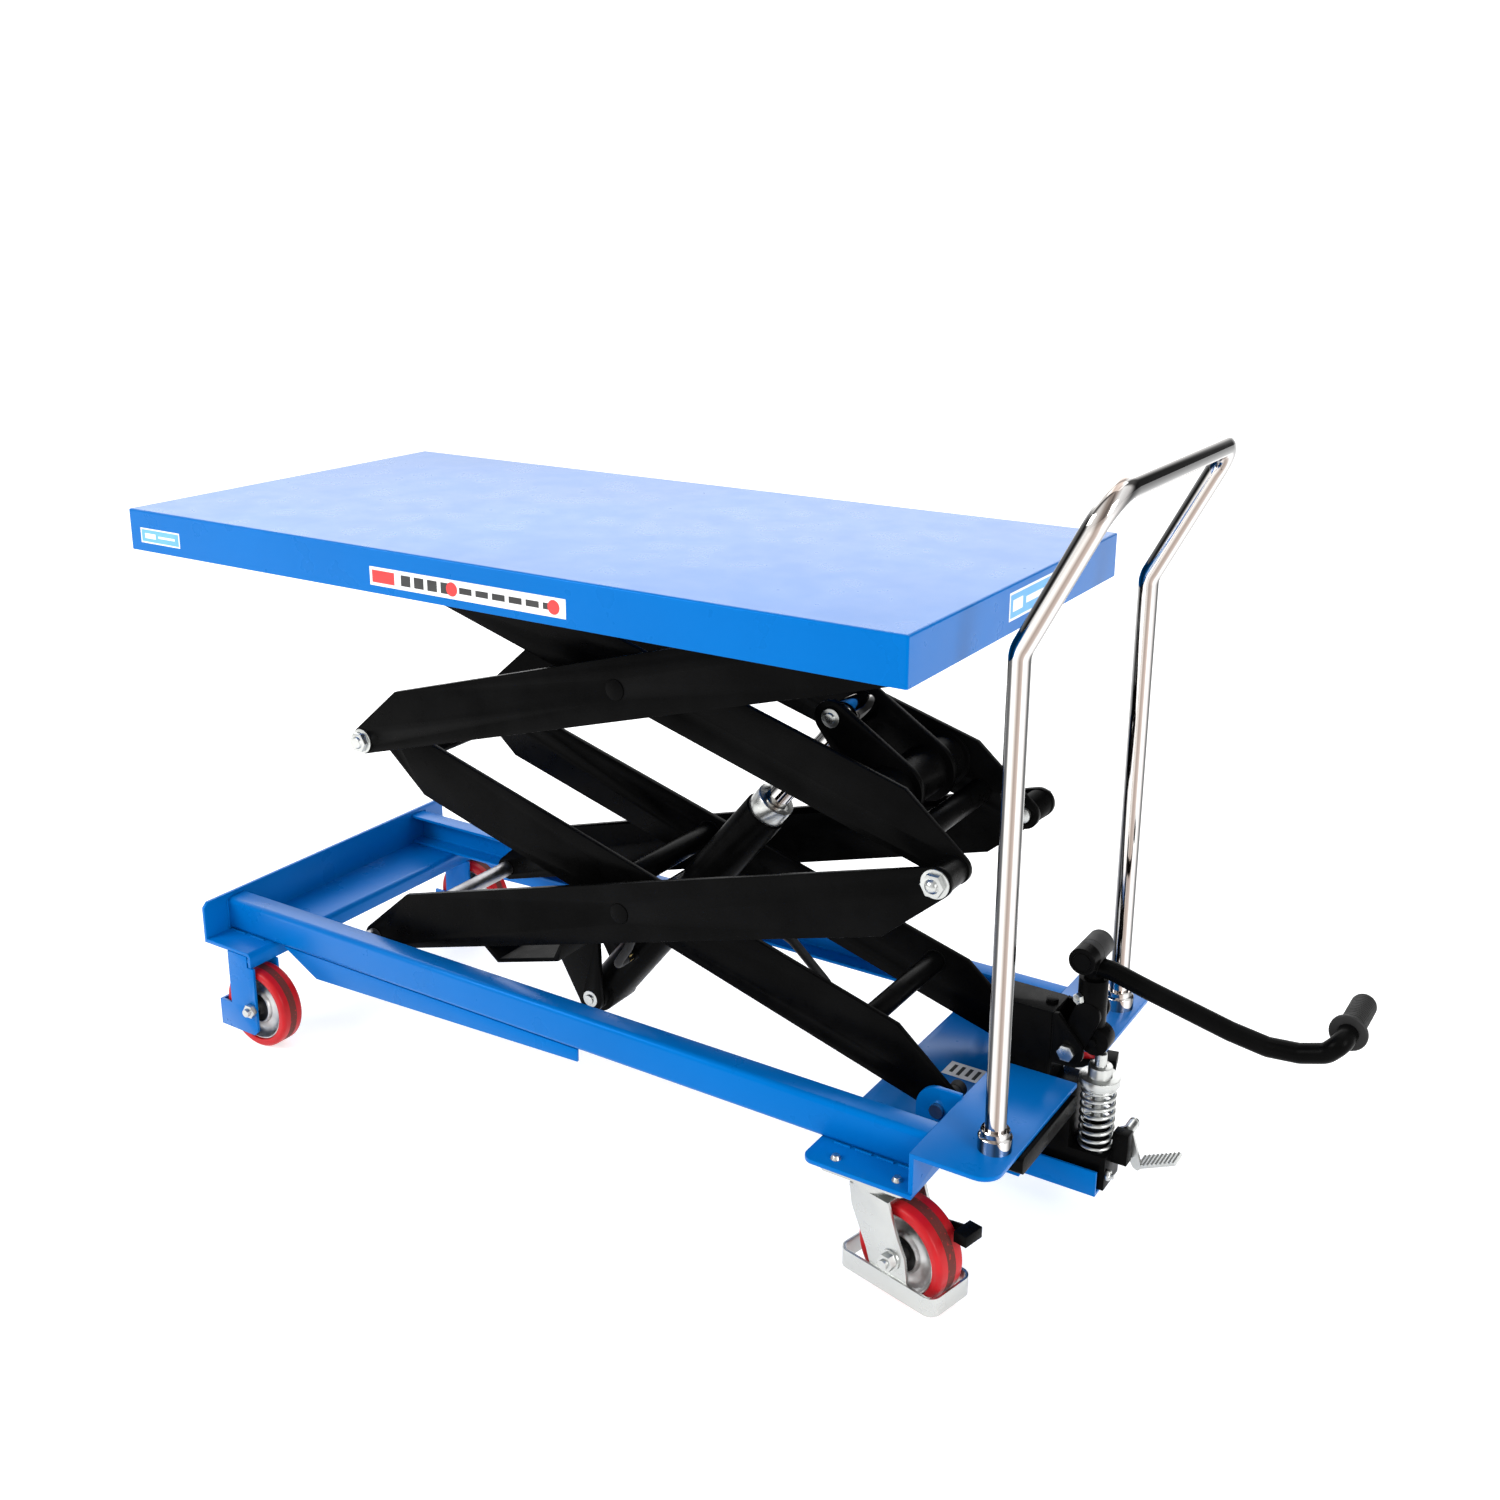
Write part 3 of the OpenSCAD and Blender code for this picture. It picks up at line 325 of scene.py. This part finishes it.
def finish_mesh(name, bm, mats, body, smooth_angle=35, replaces=()):
    """Turns a bmesh into a piece that rides on a body."""
    bmesh.ops.recalc_face_normals(bm, faces=bm.faces)
    for face in bm.faces:
        face.smooth = True
    for edge in bm.edges:
        if len(edge.link_faces) == 2:
            edge.smooth = edge.calc_face_angle(0) < math.radians(smooth_angle)
    mesh = bpy.data.meshes.new(name)
    bm.to_mesh(mesh)
    bm.free()
    for layer in [a for a in mesh.attributes if a.name == "custom_normal"]:
        mesh.attributes.remove(layer)
    for mat in mats if isinstance(mats, (list, tuple)) else [mats]:
        mesh.materials.append(MATERIALS[mat])
    obj = bpy.data.objects.new(name, mesh)
    bpy.context.scene.collection.objects.link(obj)
    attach(obj, body)
    if replaces:
        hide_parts(*replaces)
    return obj


def node_slot(node):
    return next(e["material_slot"] for e in frame["record"]["subparts"] if e["node"] == node)


def node_body(node):
    bodies = frame["record"]["behaviour"]["bodies"]
    return next(body for body, names in bodies.items() if node in names)


def soften(node, width=0.0008, segments=2):
    """A copy of a CAD node with its hard edges rounded, which stands for the node."""
    bm = bmesh.new()
    bm.from_mesh(NODES[node].data)
    bmesh.ops.remove_doubles(bm, verts=bm.verts, dist=MERGE_REACH)
    bmesh.ops.dissolve_limit(bm, angle_limit=FLAT_ANGLE, verts=bm.verts, edges=bm.edges)
    hard = [
        e for e in bm.edges
        if len(e.link_faces) == 2 and e.calc_face_angle(0) > HARD_ANGLE
    ]
    bmesh.ops.bevel(
        bm, geom=hard, offset=width, offset_type="OFFSET", segments=segments, profile=0.5,
        affect="EDGES", clamp_overlap=True,
    )
    for face in bm.faces:
        face.material_index = 0
    return finish_mesh(
        node + "_soft", bm, node_slot(node), node_body(node), replaces=[node]
    )


def rounded_path(points, radius, steps=8):
    """A polyline with its corners turned into arcs."""
    points = [Vector(p) for p in points]
    path = [points[0]]
    for before, corner, after in zip(points, points[1:], points[2:]):
        u, v = (corner - before).normalized(), (after - corner).normalized()
        turn = u.angle(v)
        if turn < 0.02:
            path.append(corner)
            continue
        room = 0.49 * min((corner - before).length, (after - corner).length)
        reach = min(radius * math.tan(turn / 2), room)
        bend = reach / math.tan(turn / 2)
        centre = corner + (v - u).normalized() * bend / math.cos(turn / 2)
        a, b = corner - u * reach - centre, corner + v * reach - centre
        for k in range(steps + 1):
            t = turn * k / steps
            path.append(centre + (a * math.sin(turn - t) + b * math.sin(t)) / math.sin(turn))
    path.append(points[-1])
    return path


def ring_frames(path):
    """Tangent and two normals at each point of a path, without twist."""
    tangents = [
        (path[min(i + 1, len(path) - 1)] - path[max(i - 1, 0)]).normalized() for i in range(len(path))
    ]
    normal = tangents[0].orthogonal().normalized()
    frames = []
    for t in tangents:
        normal = (normal - t * normal.dot(t)).normalized()
        frames.append((t, normal, t.cross(normal)))
    return frames


def bridge(bm, low, high, index=0):
    """Joins two rings of the same number of vertices with a band of faces."""
    for k in range(len(low)):
        m = (k + 1) % len(low)
        bm.faces.new((low[k], low[m], high[m], high[k])).material_index = index


def cap_and_bridge(bm, rings):
    """A closed skin over a row of rings."""
    for low, high in zip(rings, rings[1:]):
        bridge(bm, low, high)
    bm.faces.new(list(reversed(rings[0])))
    bm.faces.new(rings[-1])


def prism_into(bm, outlines):
    """A closed solid between two outlines of the same number of points."""
    cap_and_bridge(bm, [[bm.verts.new(p) for p in outline] for outline in outlines])


def cross_axes(axis):
    """A unit axis with two more at right angles to it."""
    axis = Vector(axis).normalized()
    side = axis.orthogonal().normalized()
    return axis, side, axis.cross(side)


def angles_round(count, closed=False):
    """Angles that go once round, with the first one again at the end where it is closed."""
    return [2 * math.pi * k / count for k in range(count + closed)]


def tube_into(bm, path, radii, sides):
    """Adds a closed round bar along a path, with one radius or a radius for each point."""
    if isinstance(radii, float):
        radii = [radii] * len(path)
    cap_and_bridge(bm, [
        [bm.verts.new(p + r * (math.cos(a) * n + math.sin(a) * b)) for a in angles_round(sides)]
        for p, r, (_, n, b) in zip(path, radii, ring_frames(path))
    ])


def tube(name, path, radius, body, slot, sides, replaces):
    bm = bmesh.new()
    tube_into(bm, path, radius, sides)
    return finish_mesh(name, bm, slot, body, replaces=replaces)


def lathe_into(bm, profile, centre, axis, segments, indices=None):
    """Turns a closed profile of (radius, along) about an axis; indices gives each side's material."""
    axis, side, other = cross_axes(axis)
    rings = []
    for a in angles_round(segments):
        out = math.cos(a) * side + math.sin(a) * other
        rings.append([bm.verts.new(centre + axis * h + out * r) for r, h in profile])
    count = len(profile)
    for ring, after in zip(rings, rings[1:] + rings[:1]):
        for k in range(count):
            m = (k + 1) % count
            face = bm.faces.new((ring[k], ring[m], after[m], after[k]))
            face.material_index = indices[k] if indices else 0


def lathe(name, profile, centre, axis, body, mats, segments, indices, replaces):
    bm = bmesh.new()
    lathe_into(bm, profile, centre, axis, segments, indices)
    return finish_mesh(name, bm, mats, body, replaces=replaces)


def hex_head_into(bm, centre, axis, across, height):
    """A hexagon head with its corners turned off."""
    axis, side, other = cross_axes(axis)
    corner = across / math.sqrt(3)
    levels = [(0.93, 0.0), (1.0, 0.1), (1.0, 0.82), (0.88, 1.0)]
    cap_and_bridge(bm, [
        [
            bm.verts.new(
                centre + axis * height * rise
                + corner * scale * (math.cos(a) * side + math.sin(a) * other)
            )
            for a in angles_round(6)
        ]
        for scale, rise in levels
    ])


def weld_into(bm, path, radius):
    """A weld bead: a tube whose radius ripples along its path."""
    step = radius * 1.1 / 4
    fine = []
    for a, b in zip(path, path[1:]):
        count = max(1, int((b - a).length / step))
        fine += [a.lerp(b, k / count) for k in range(count)]
    fine.append(path[-1])
    ripple = [0.86 + 0.14 * abs(math.sin(math.pi * i / 4)) for i in range(len(fine))]
    tube_into(bm, fine, [radius * wave * random.uniform(0.94, 1.06) for wave in ripple], 8)


def circle_path(centre, axis, radius, count):
    _, side, other = cross_axes(axis)
    return [
        centre + radius * (math.cos(a) * side + math.sin(a) * other)
        for a in angles_round(count, closed=True)
    ]


# ---- Plates and other CAD shapes with softened edges ----

SKIRT_INSET = 0.3
SOFT = [
    "platform_rails", "platform_pivot_pins", "upper_outer_arms", "upper_centre_pins", "left_mid_pins",
    "upper_inner_arms", "torsion_tube", "upper_cylinder_pins", "upper_roller_shaft",
    "platform_roller_left", "platform_roller_right", "lower_outer_arms", "lower_centre_pins",
    "right_mid_pins", "lower_roller_shaft", "cross_channel", "lower_cylinder_pin",
    "base_roller_left", "base_roller_right", "lower_inner_arms", "lower_inner_tubes",
    "cylinder_barrel", "cylinder_gland", "cylinder_rod", "side_rails", "front_cross_plate",
    "front_wheel_brackets", "rear_plate", "chassis_bolts", "caster_top_plates",
    "under_plate_bar", "caster_fork_left", "caster_fork_right", "brake_pedal_left", "brake_pedal_right",
    "pump_tank", "pump_block", "pump_channel", "pump_ears", "plunger", "lever_socket",
]


def deck_piece():
    """The deck with softened folds, its skirt set back a hair so that labels lie on it."""
    deck = soften("platform_deck", 0.0012, 3)
    low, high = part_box("platform_deck")
    depth = SKIRT_INSET / 1000
    for vertex in deck.data.vertices:
        if vertex.co.y < low.y + depth:
            vertex.co.y = low.y + depth
        if vertex.co.x > high.x - depth:
            vertex.co.x = high.x - depth


# ---- Wheels ----

WHEEL_R = 0.0625
WHEEL_Z = 62.5
TREAD_CORNER = 0.006
RIM_R = 0.0505
RIM_SINK = 0.0006
BAND_SHARE = 0.16
AXLE_R = 0.0062
BEARING_R = 0.0223
FRONT_WIDTH = 0.038
FRONT_WHEEL_X, FRONT_WHEEL_Y = -485, 239
CASTER_WIDTH = 0.045
CASTER_X, CASTER_Y = 556, 222
CASTER_TRAIL = 49
CASTER_YAW = math.radians(13)
WHEEL_SEGMENTS = 96

# Radius and depth below the wheel's face, from the rim of the cast core in to its bearing and axle.
CORE = [
    (0.0503, 0.0042), (0.0492, 0.0030), (0.0478, 0.0030), (0.0466, 0.0042), (0.0450, 0.0085),
    (0.0420, 0.0112), (0.0370, 0.0126), (0.0300, 0.0122), (0.0262, 0.0100), (0.0246, 0.0060),
    (0.0236, 0.0048), (0.0222, 0.0048), (0.0214, 0.0062), (0.0190, 0.0078), (0.0120, 0.0078),
    (0.0112, 0.0012), (AXLE_R, 0.0012),
]


def arc(centre, radius, start, end, count=5):
    """Points of an arc in a profile, with its angles in degrees."""
    turn = [math.radians(start + (end - start) * k / count) for k in range(count + 1)]
    return [(centre[0] + radius * math.cos(a), centre[1] + radius * math.sin(a)) for a in turn]


def wheel(kind, side, width, centre, axis):
    """A rounded tread with a worn middle band, and a cast dished core with a dark bearing."""
    body = f"{kind}_wheel_{side}"
    face = width / 2
    band = width * BAND_SHARE
    shoulder = WHEEL_R - TREAD_CORNER
    tread = [(RIM_R, -face + RIM_SINK), (shoulder, -face)]
    tread += arc((shoulder, -face + TREAD_CORNER), TREAD_CORNER, -90, 0)[1:]
    tread += [(WHEEL_R, -band), (WHEEL_R, band)]
    tread += arc((shoulder, face - TREAD_CORNER), TREAD_CORNER, 0, 90)
    tread += [(RIM_R, face - RIM_SINK)]
    worn = [int(point == (WHEEL_R, -band)) for point in tread]
    lathe(
        f"{kind}_{side}_tread", tread, centre, axis, body, ["red_tread", "scuffed_band"],
        segments=WHEEL_SEGMENTS, indices=worn, replaces=[f"{kind}_tyre_{side}"],
    )
    half = [(r, face - depth) for r, depth in CORE]
    profile = half + [(r, -h) for r, h in reversed(half)]
    bearing = [
        int(max(a[0], b[0]) < BEARING_R) for a, b in zip(profile, profile[1:] + profile[:1])
    ]
    lathe(
        f"{kind}_{side}_core", profile, centre, axis, body, ["hub_metal", "bearing_black"],
        segments=WHEEL_SEGMENTS, indices=bearing, replaces=[f"{kind}_hub_{side}"],
    )


def wheels():
    along, across = math.cos(CASTER_YAW), math.sin(CASTER_YAW)
    for side, k in (("left", -1), ("right", 1)):
        front = at(FRONT_WHEEL_X, FRONT_WHEEL_Y * k, WHEEL_Z)
        wheel("front", side, FRONT_WIDTH, front, (0, k, 0))
        rear = at(CASTER_X + CASTER_TRAIL * along, k * (CASTER_Y + CASTER_TRAIL * across), WHEEL_Z)
        wheel("caster", side, CASTER_WIDTH, rear, (-across, k * along, 0))


# ---- Push handle ----

LEG_X, LEG_Y = 688.5, 198.7
LEG_FOOT, LEG_BEND = 206, 794
BAR_X, BAR_Z = 778, 968.9
HANDLE_R = 0.0125
HANDLE_BENDS = (0.035, 0.05, 0.05, 0.035)


def push_handle():
    corners = [
        at(LEG_X, -LEG_Y, LEG_FOOT), at(LEG_X, -LEG_Y, LEG_BEND), at(BAR_X, -LEG_Y, BAR_Z),
        at(BAR_X, LEG_Y, BAR_Z), at(LEG_X, LEG_Y, LEG_BEND), at(LEG_X, LEG_Y, LEG_FOOT),
    ]
    path = [corners[0]]
    for before, corner, after, bend in zip(corners, corners[1:], corners[2:], HANDLE_BENDS):
        near = [corner.lerp(before, 0.45), corner, corner.lerp(after, 0.45)]
        path += rounded_path(near, bend, 14)[1:-1]
    path.append(corners[-1])
    tube("handle_tube", path, HANDLE_R, "chassis", "chrome", sides=56, replaces=["push_handle"])
    bore = 0.0128
    socket = [
        (bore, 0.0), (0.0200, 0.0), (0.0200, 0.0165), (0.0194, 0.0175), (0.0170, 0.0190),
        (0.0170, 0.0245), (0.0160, 0.0258), (bore, 0.0258),
    ]
    bm = bmesh.new()
    for y in (-LEG_Y, LEG_Y):
        lathe_into(bm, socket, at(LEG_X, y, LEG_FOOT), UP, 48)
    finish_mesh("handle_sockets", bm, "chrome", "chassis", 30, ["handle_collars"])


# ---- Pump ----

PUMP_Y = 27
BLOCK_TOP = 104
TANK_TOP = 281
SPRING_X = 729
SPRING_R = 20
SPRING_BOTTOM, SPRING_TOP = 106.6, 187.4
SPRING_TURNS = 9
SPRING_FLAT_TURNS = 0.85
FOOT_ROLLER = (708, 0, 362)
HAND_GRIP = (1006, 0, 330)
LEVER_R = 0.012
GRIP_R = 0.0149
GRIP_RIBS = 16
RIB_PITCH = 0.0044
TINY = 0.0001


def return_spring():
    """A helix with a flat turn at each end."""
    steps = 26
    path = []
    for i in range(SPRING_TURNS * steps + 1):
        turn = i / steps
        rise = (turn - SPRING_FLAT_TURNS) / (SPRING_TURNS - 2 * SPRING_FLAT_TURNS)
        rise = min(max(rise, 0.0), 1.0)
        a = 2 * math.pi * turn
        x, y = SPRING_X + SPRING_R * math.cos(a), PUMP_Y + SPRING_R * math.sin(a)
        path.append(at(x, y, SPRING_BOTTOM + (SPRING_TOP - SPRING_BOTTOM) * rise))
    spring = tube("return_spring", path, 0.0025, "chassis", "zinc", sides=14, replaces=["pump_spring"])
    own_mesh(spring)


def lever_tube():
    """The bent lever with the boss of its foot roller and the weld at its socket."""
    x, _, z = HAND_GRIP
    route = [
        at(713, PUMP_Y, 270), at(713, PUMP_Y, 345), at(735, PUMP_Y, 344), at(783, PUMP_Y, 331),
        at(881, PUMP_Y, 307), at(925, PUMP_Y, 300), at(961, PUMP_Y, 303), at(990, PUMP_Y, 312),
        at(x, PUMP_Y, z), at(x, 131, z),
    ]
    bm = bmesh.new()
    tube_into(bm, rounded_path(route, 0.022, 9), LEVER_R, 30)
    boss = [
        (TINY, -0.0060), (0.0105, -0.0060), (0.0108, -0.0050), (0.0132, -0.0050), (0.0134, -0.0060),
        (0.0160, -0.0060), (0.0170, -0.0050), (0.0170, 0.0130), (0.0162, 0.0136), (TINY, 0.0136),
    ]
    lathe_into(bm, boss, at(*FOOT_ROLLER), ACROSS, 48)
    weld_into(bm, circle_path(at(720, PUMP_Y, 347), (1, 0, -0.25), 0.0128, 30), 0.0016)
    finish_mesh("lever_tube", bm, "black_paint", "lever", 40, ["pump_lever"])


def rubber_sleeves():
    """The foot roller's smooth sleeve and the ribbed hand grip with its collar."""
    bm = bmesh.new()
    sleeve = [
        (TINY, 0.0140), (0.0164, 0.0140), (0.0168, 0.0150), (0.0168, 0.0250), (0.0160, 0.0256),
        (0.0168, 0.0262), (0.0168, 0.0585), (0.0158, 0.0598), (TINY, 0.0598),
    ]
    lathe_into(bm, sleeve, at(*FOOT_ROLLER), ACROSS, 48)
    bore, groove = 0.0121, 0.0139
    grip = [
        (bore, 0.0522), (0.0205, 0.0522), (0.0219, 0.0535), (0.0219, 0.0565), (0.0205, 0.0578),
        (GRIP_R, 0.0584),
    ]
    for k in range(GRIP_RIBS):
        y = 0.0595 + RIB_PITCH * k
        grip += [(GRIP_R, y), (GRIP_R, y + 0.0022), (groove, y + 0.0028), (groove, y + 0.0038)]
    grip += [
        (GRIP_R, 0.1300), (0.0140, 0.1338), (0.0110, 0.1349), (TINY, 0.1349), (TINY, 0.1312),
        (bore, 0.1312),
    ]
    lathe_into(bm, grip, at(*HAND_GRIP), ACROSS, 48)
    finish_mesh("rubber_sleeves", bm, "black_rubber", "lever", 40, ["lever_grip"])


def socket_bolt():
    """The bolt that clamps the lever in its socket."""
    bm = bmesh.new()
    seat = at(703, 11.2, 305)
    hex_head_into(bm, seat, (-0.45, -0.9, 0), 0.013, 0.006)
    tube_into(bm, [seat, at(699.2, 3.6, 305)], 0.0035, 16)
    finish_mesh("socket_bolt", bm, "zinc", "lever")


def block_screws():
    """Screws on top of the valve block and a bolt in its end."""
    head = [(TINY, 0), (0.0042, 0), (0.0042, 0.0022), (0.0034, 0.003), (TINY, 0.003)]
    bm = bmesh.new()
    for x in (657, 740):
        for y in (12, 42):
            lathe_into(bm, head, at(x, y, BLOCK_TOP), UP, 24)
    hex_head_into(bm, at(752, 8, 78), (1, 0, 0), 0.012, 0.006)
    tube_into(bm, [at(757, 8, 78), at(762, 8, 78)], 0.0035, 16)
    finish_mesh("block_screws", bm, "zinc", "chassis")


def tank_seams():
    """The tank's filler plug and the weld beads along its edges."""
    plug = [
        (TINY, 0), (0.0088, 0), (0.0088, 0.003), (0.0062, 0.0034), (0.0055, 0.0045), (TINY, 0.0045),
    ]
    bm = bmesh.new()
    lathe_into(bm, plug, at(662, PUMP_Y, TANK_TOP + 0.5), UP, 6)
    weld_into(bm, [at(590.5, 1, TANK_TOP), at(673.5, 1, TANK_TOP), at(674, 53, TANK_TOP)], 0.0011)
    weld_into(bm, [at(674, 1.2, TANK_TOP), at(674, 1.2, 216)], 0.0012)
    finish_mesh("tank_seams", bm, "black_paint", "chassis", 40)


def pedal_plate_outline(length=0.0515, thick=0.0026, valley=0.0010, teeth=9):
    """Side view of the ribbed plate, along its slope and up from it."""
    count = teeth * 4
    top = [(length * k / count, thick if k % 4 in (1, 2) else valley) for k in range(count + 1)]
    return [(0.0, -thick)] + top + [(length, -thick)]


def release_pedal():
    """Pedal with a ribbed plate on a turned shaft."""
    bm = bmesh.new()
    shaft = [
        (TINY, 0.0), (0.0066, 0.0), (0.0070, 0.0010), (0.0070, 0.0150), (0.0060, 0.0156),
        (0.0060, 0.0166), (0.0070, 0.0172), (0.0070, 0.0425), (0.0058, 0.0431), (0.0058, 0.0450),
        (0.0070, 0.0456), (0.0070, 0.0482), (0.0060, 0.0490), (TINY, 0.0490),
    ]
    lathe_into(bm, shaft, at(762, PUMP_Y, 120), ACROSS, 40)
    arm = [(762, 131), (753, 126), (752, 117), (774, 77), (780, 74), (785, 79), (771, 124)]
    prism_into(bm, [[at(x, y, z) for x, z in arm] for y in (42.3, 46.7)])
    slope = Vector((48, 0, 22)).normalized()
    lift = Vector((-22, 0, 48)).normalized()
    prism_into(bm, [
        [at(779, y, 79) + slope * s + lift * t for s, t in pedal_plate_outline()] for y in (42.2, 69.8)
    ])
    finish_mesh("release_pedal_plate", bm, "zinc", "release", 30, ["release_pedal"])


# ---- Hoses ----

HOSE_R = 0.0062
EYE_R = 0.0108
BASE_PIVOT_X, BASE_PIVOT_Z = 582, 180.5
HOSE_ARM_Y, HOSE_BASE_Y = -84.5, -70.5
HOSE_ROUTES = {
    "hose_cylinder": [
        (59, -51, 206), (59, -74, 206), (82, -76, 240), (108, -76, 300), (127, -80, 335),
        (127, -64, 335),
    ],
    "hose_arm": [
        (127, -62, 335), (127, -44, 335), (200, -44, 338), (270, -44, 330), (328, -44, 304),
        (380, -44, 258), (440, HOSE_ARM_Y, 228.7), (574.4, HOSE_ARM_Y, 183.1),
    ],
    "hose_base": [
        (BASE_PIVOT_X, HOSE_BASE_Y, 178), (BASE_PIVOT_X, HOSE_BASE_Y, 108), (618, -40, 82),
        (628, PUMP_Y, 80), (649, PUMP_Y, 80),
    ],
}


def base_pivot(y):
    return at(BASE_PIVOT_X, y, BASE_PIVOT_Z)


def hoses():
    for name, route in HOSE_ROUTES.items():
        bm = bmesh.new()
        tube_into(bm, rounded_path([at(*p) for p in route], 0.022, 10), HOSE_R, 26)
        if name == "hose_arm":
            eye = [(0.0055, -0.0063), (EYE_R, -0.0063), (EYE_R, 0.0063), (0.0055, 0.0063)]
            lathe_into(bm, eye, base_pivot(HOSE_ARM_Y), ACROSS, 36)
        if name == "hose_base":
            tube_into(bm, [base_pivot(-89), base_pivot(-71)], 0.0048, 24)
            tube_into(bm, [base_pivot(HOSE_BASE_Y - 6.3), base_pivot(HOSE_BASE_Y + 6.3)], EYE_R, 36)
        finish_mesh(name + "_skin", bm, "black_rubber", node_body(name), 40, [name])


# ---- Welds, small fasteners and labels ----

RAIL_TOP = 155.2
RAIL_SIDE = 219.2
LUG_Y = 117.6
ARM_WELD_Y = 97.2


def stitches(bm, start, end, stitch, space, radius):
    length = (end - start).length
    u = (end - start).normalized()
    s = 0.0
    while s < length:
        weld_into(bm, [start + u * s, start + u * min(s + stitch, length)], radius)
        s += stitch + space


def welds():
    bm = bmesh.new()
    for k in (-1, 1):
        rail, post, lug = RAIL_SIDE * k, 219 * k, LUG_Y * k
        stitches(bm, at(492, rail, RAIL_TOP), at(608, rail, RAIL_TOP), 0.022, 0.007, 0.0019)
        weld_into(bm, [at(-575.5, post, 156), at(-575.5, post, 205)], 0.0017)
        stitches(bm, at(-570, rail, RAIL_TOP), at(-490, rail, RAIL_TOP), 0.03, 0.012, 0.0016)
        weld_into(bm, [at(611.6, post, 156), at(611.6, post, 203)], 0.0016)
        weld_into(bm, [at(555, lug, 155), at(611, lug, 155)], 0.0018)
        weld_into(bm, [at(611.6, lug, 156), at(611.6, lug, 200)], 0.0016)
    finish_mesh("chassis_welds", bm, "blue_paint", "chassis", 60)
    # Place and radius of each tube that is welded across a pair of inner arms.
    tubes = {"lower_inner": [(103, 358, 16), (467, 254, 14)], "upper_inner": [(468, 545, 32)]}
    for body, rings in tubes.items():
        bm = bmesh.new()
        for x, z, r in rings:
            for k in (-1, 1):
                centre = at(x, k * ARM_WELD_Y, z)
                weld_into(bm, circle_path(centre, ACROSS, (r + 1) / 1000, 44), 0.0018)
        finish_mesh(body + "_welds", bm, "black_paint", body, 60)


def barrel_fitting():
    """Brass elbow between the barrel's port and its hose."""
    foot_x, foot_z, along = -8, 124, 105
    a = math.radians(51.4)
    port = at(foot_x + along * math.cos(a), -38.5, foot_z + along * math.sin(a))
    bm = bmesh.new()
    hex_head_into(bm, port, (0, -1, 0), 0.0135, 0.011)
    finish_mesh("port_elbow", bm, "brass", "barrel")


LABEL_INKS = ["label_white", "label_blue", "label_red", "label_black"]
WHITE, BLUE, RED, BLACK = range(4)
LAYER = 0.06


def label(bm, low, high, ink):
    """A thin box standing for one printed patch."""
    corners = [
        bm.verts.new((x, y, z)) for x in (low.x, high.x) for y in (low.y, high.y) for z in (low.z, high.z)
    ]
    quads = [(0, 1, 3, 2), (4, 6, 7, 5), (0, 4, 5, 1), (2, 3, 7, 6), (0, 2, 6, 4), (1, 5, 7, 3)]
    for quad in quads:
        bm.faces.new([corners[i] for i in quad]).material_index = ink


def skirt_labels():
    """Plain printed patches without any lettering."""
    bm = bmesh.new()
    side = -300 + SKIRT_INSET
    end = 610 - SKIRT_INSET

    def on_side(x0, z0, x1, z1, layer, ink):
        y = side - LAYER * layer
        label(bm, at(x0, y, z0), at(x1, y + LAYER / 2, z1), ink)

    def on_end(y0, z0, y1, z1, layer, ink):
        x = end + LAYER * layer
        label(bm, at(x - LAYER / 2, y0, z0), at(x, y1, z1), ink)

    on_side(-587, 777, -506, 798, 1, WHITE)
    on_side(-585, 779, -508, 796, 2, BLUE)
    on_side(-578, 784, -556, 791, 3, WHITE)
    on_side(-550, 786, -516, 789, 3, WHITE)
    on_side(-145, 775, 168, 799, 1, WHITE)
    on_side(-141, 779, -103, 795, 2, RED)
    for k in range(4):
        on_side(-92 + 22 * k, 780, -76 + 22 * k, 794, 2, BLACK)
    for k in range(6):
        on_side(4 + 26 * k, 783, 24 + 26 * k, 791, 2, BLACK)
    for x in (-8, 150):
        disc = circle_path(at(x, side - 2.5 * LAYER, 787), ACROSS, 0.009, 32)[:-1]
        front = [bm.verts.new(p) for p in disc]
        rear = [bm.verts.new(p + Vector((0, 0.00003, 0))) for p in disc]
        bm.faces.new(front).material_index = RED
        bridge(bm, front, rear, RED)
    on_end(-46, 779, 90, 813, 1, WHITE)
    on_end(-43, 782, 87, 810, 2, BLUE)
    on_end(-36, 789, -8, 803, 3, WHITE)
    on_end(2, 792, 78, 800, 3, WHITE)
    finish_mesh("skirt_labels", bm, LABEL_INKS, "platform", 20)


def chassis_label():
    """A plain patch with short bars on the handle plate."""
    bm = bmesh.new()
    label(bm, at(529, -4, 154.75), at(578, 30, 154.95), WHITE)
    for k in range(4):
        x, y = 536 + 11 * k, 4 - 3 * (k % 2)
        label(bm, at(x, y, 154.96), at(x + 5, 24, 155.0), BLACK)
    finish_mesh("chassis_label", bm, LABEL_INKS, "chassis", 20)


def dress():
    """Makes every piece; the weld beads draw their random ripples in this order."""
    for node in SOFT:
        soften(node)
    deck_piece()
    wheels()
    push_handle()
    return_spring()
    lever_tube()
    rubber_sleeves()
    socket_bolt()
    block_screws()
    tank_seams()
    release_pedal()
    hoses()
    welds()
    barrel_fitting()
    skirt_labels()
    chassis_label()


make_camera()
make_floor()
make_light()
dress_nodes()
dress()
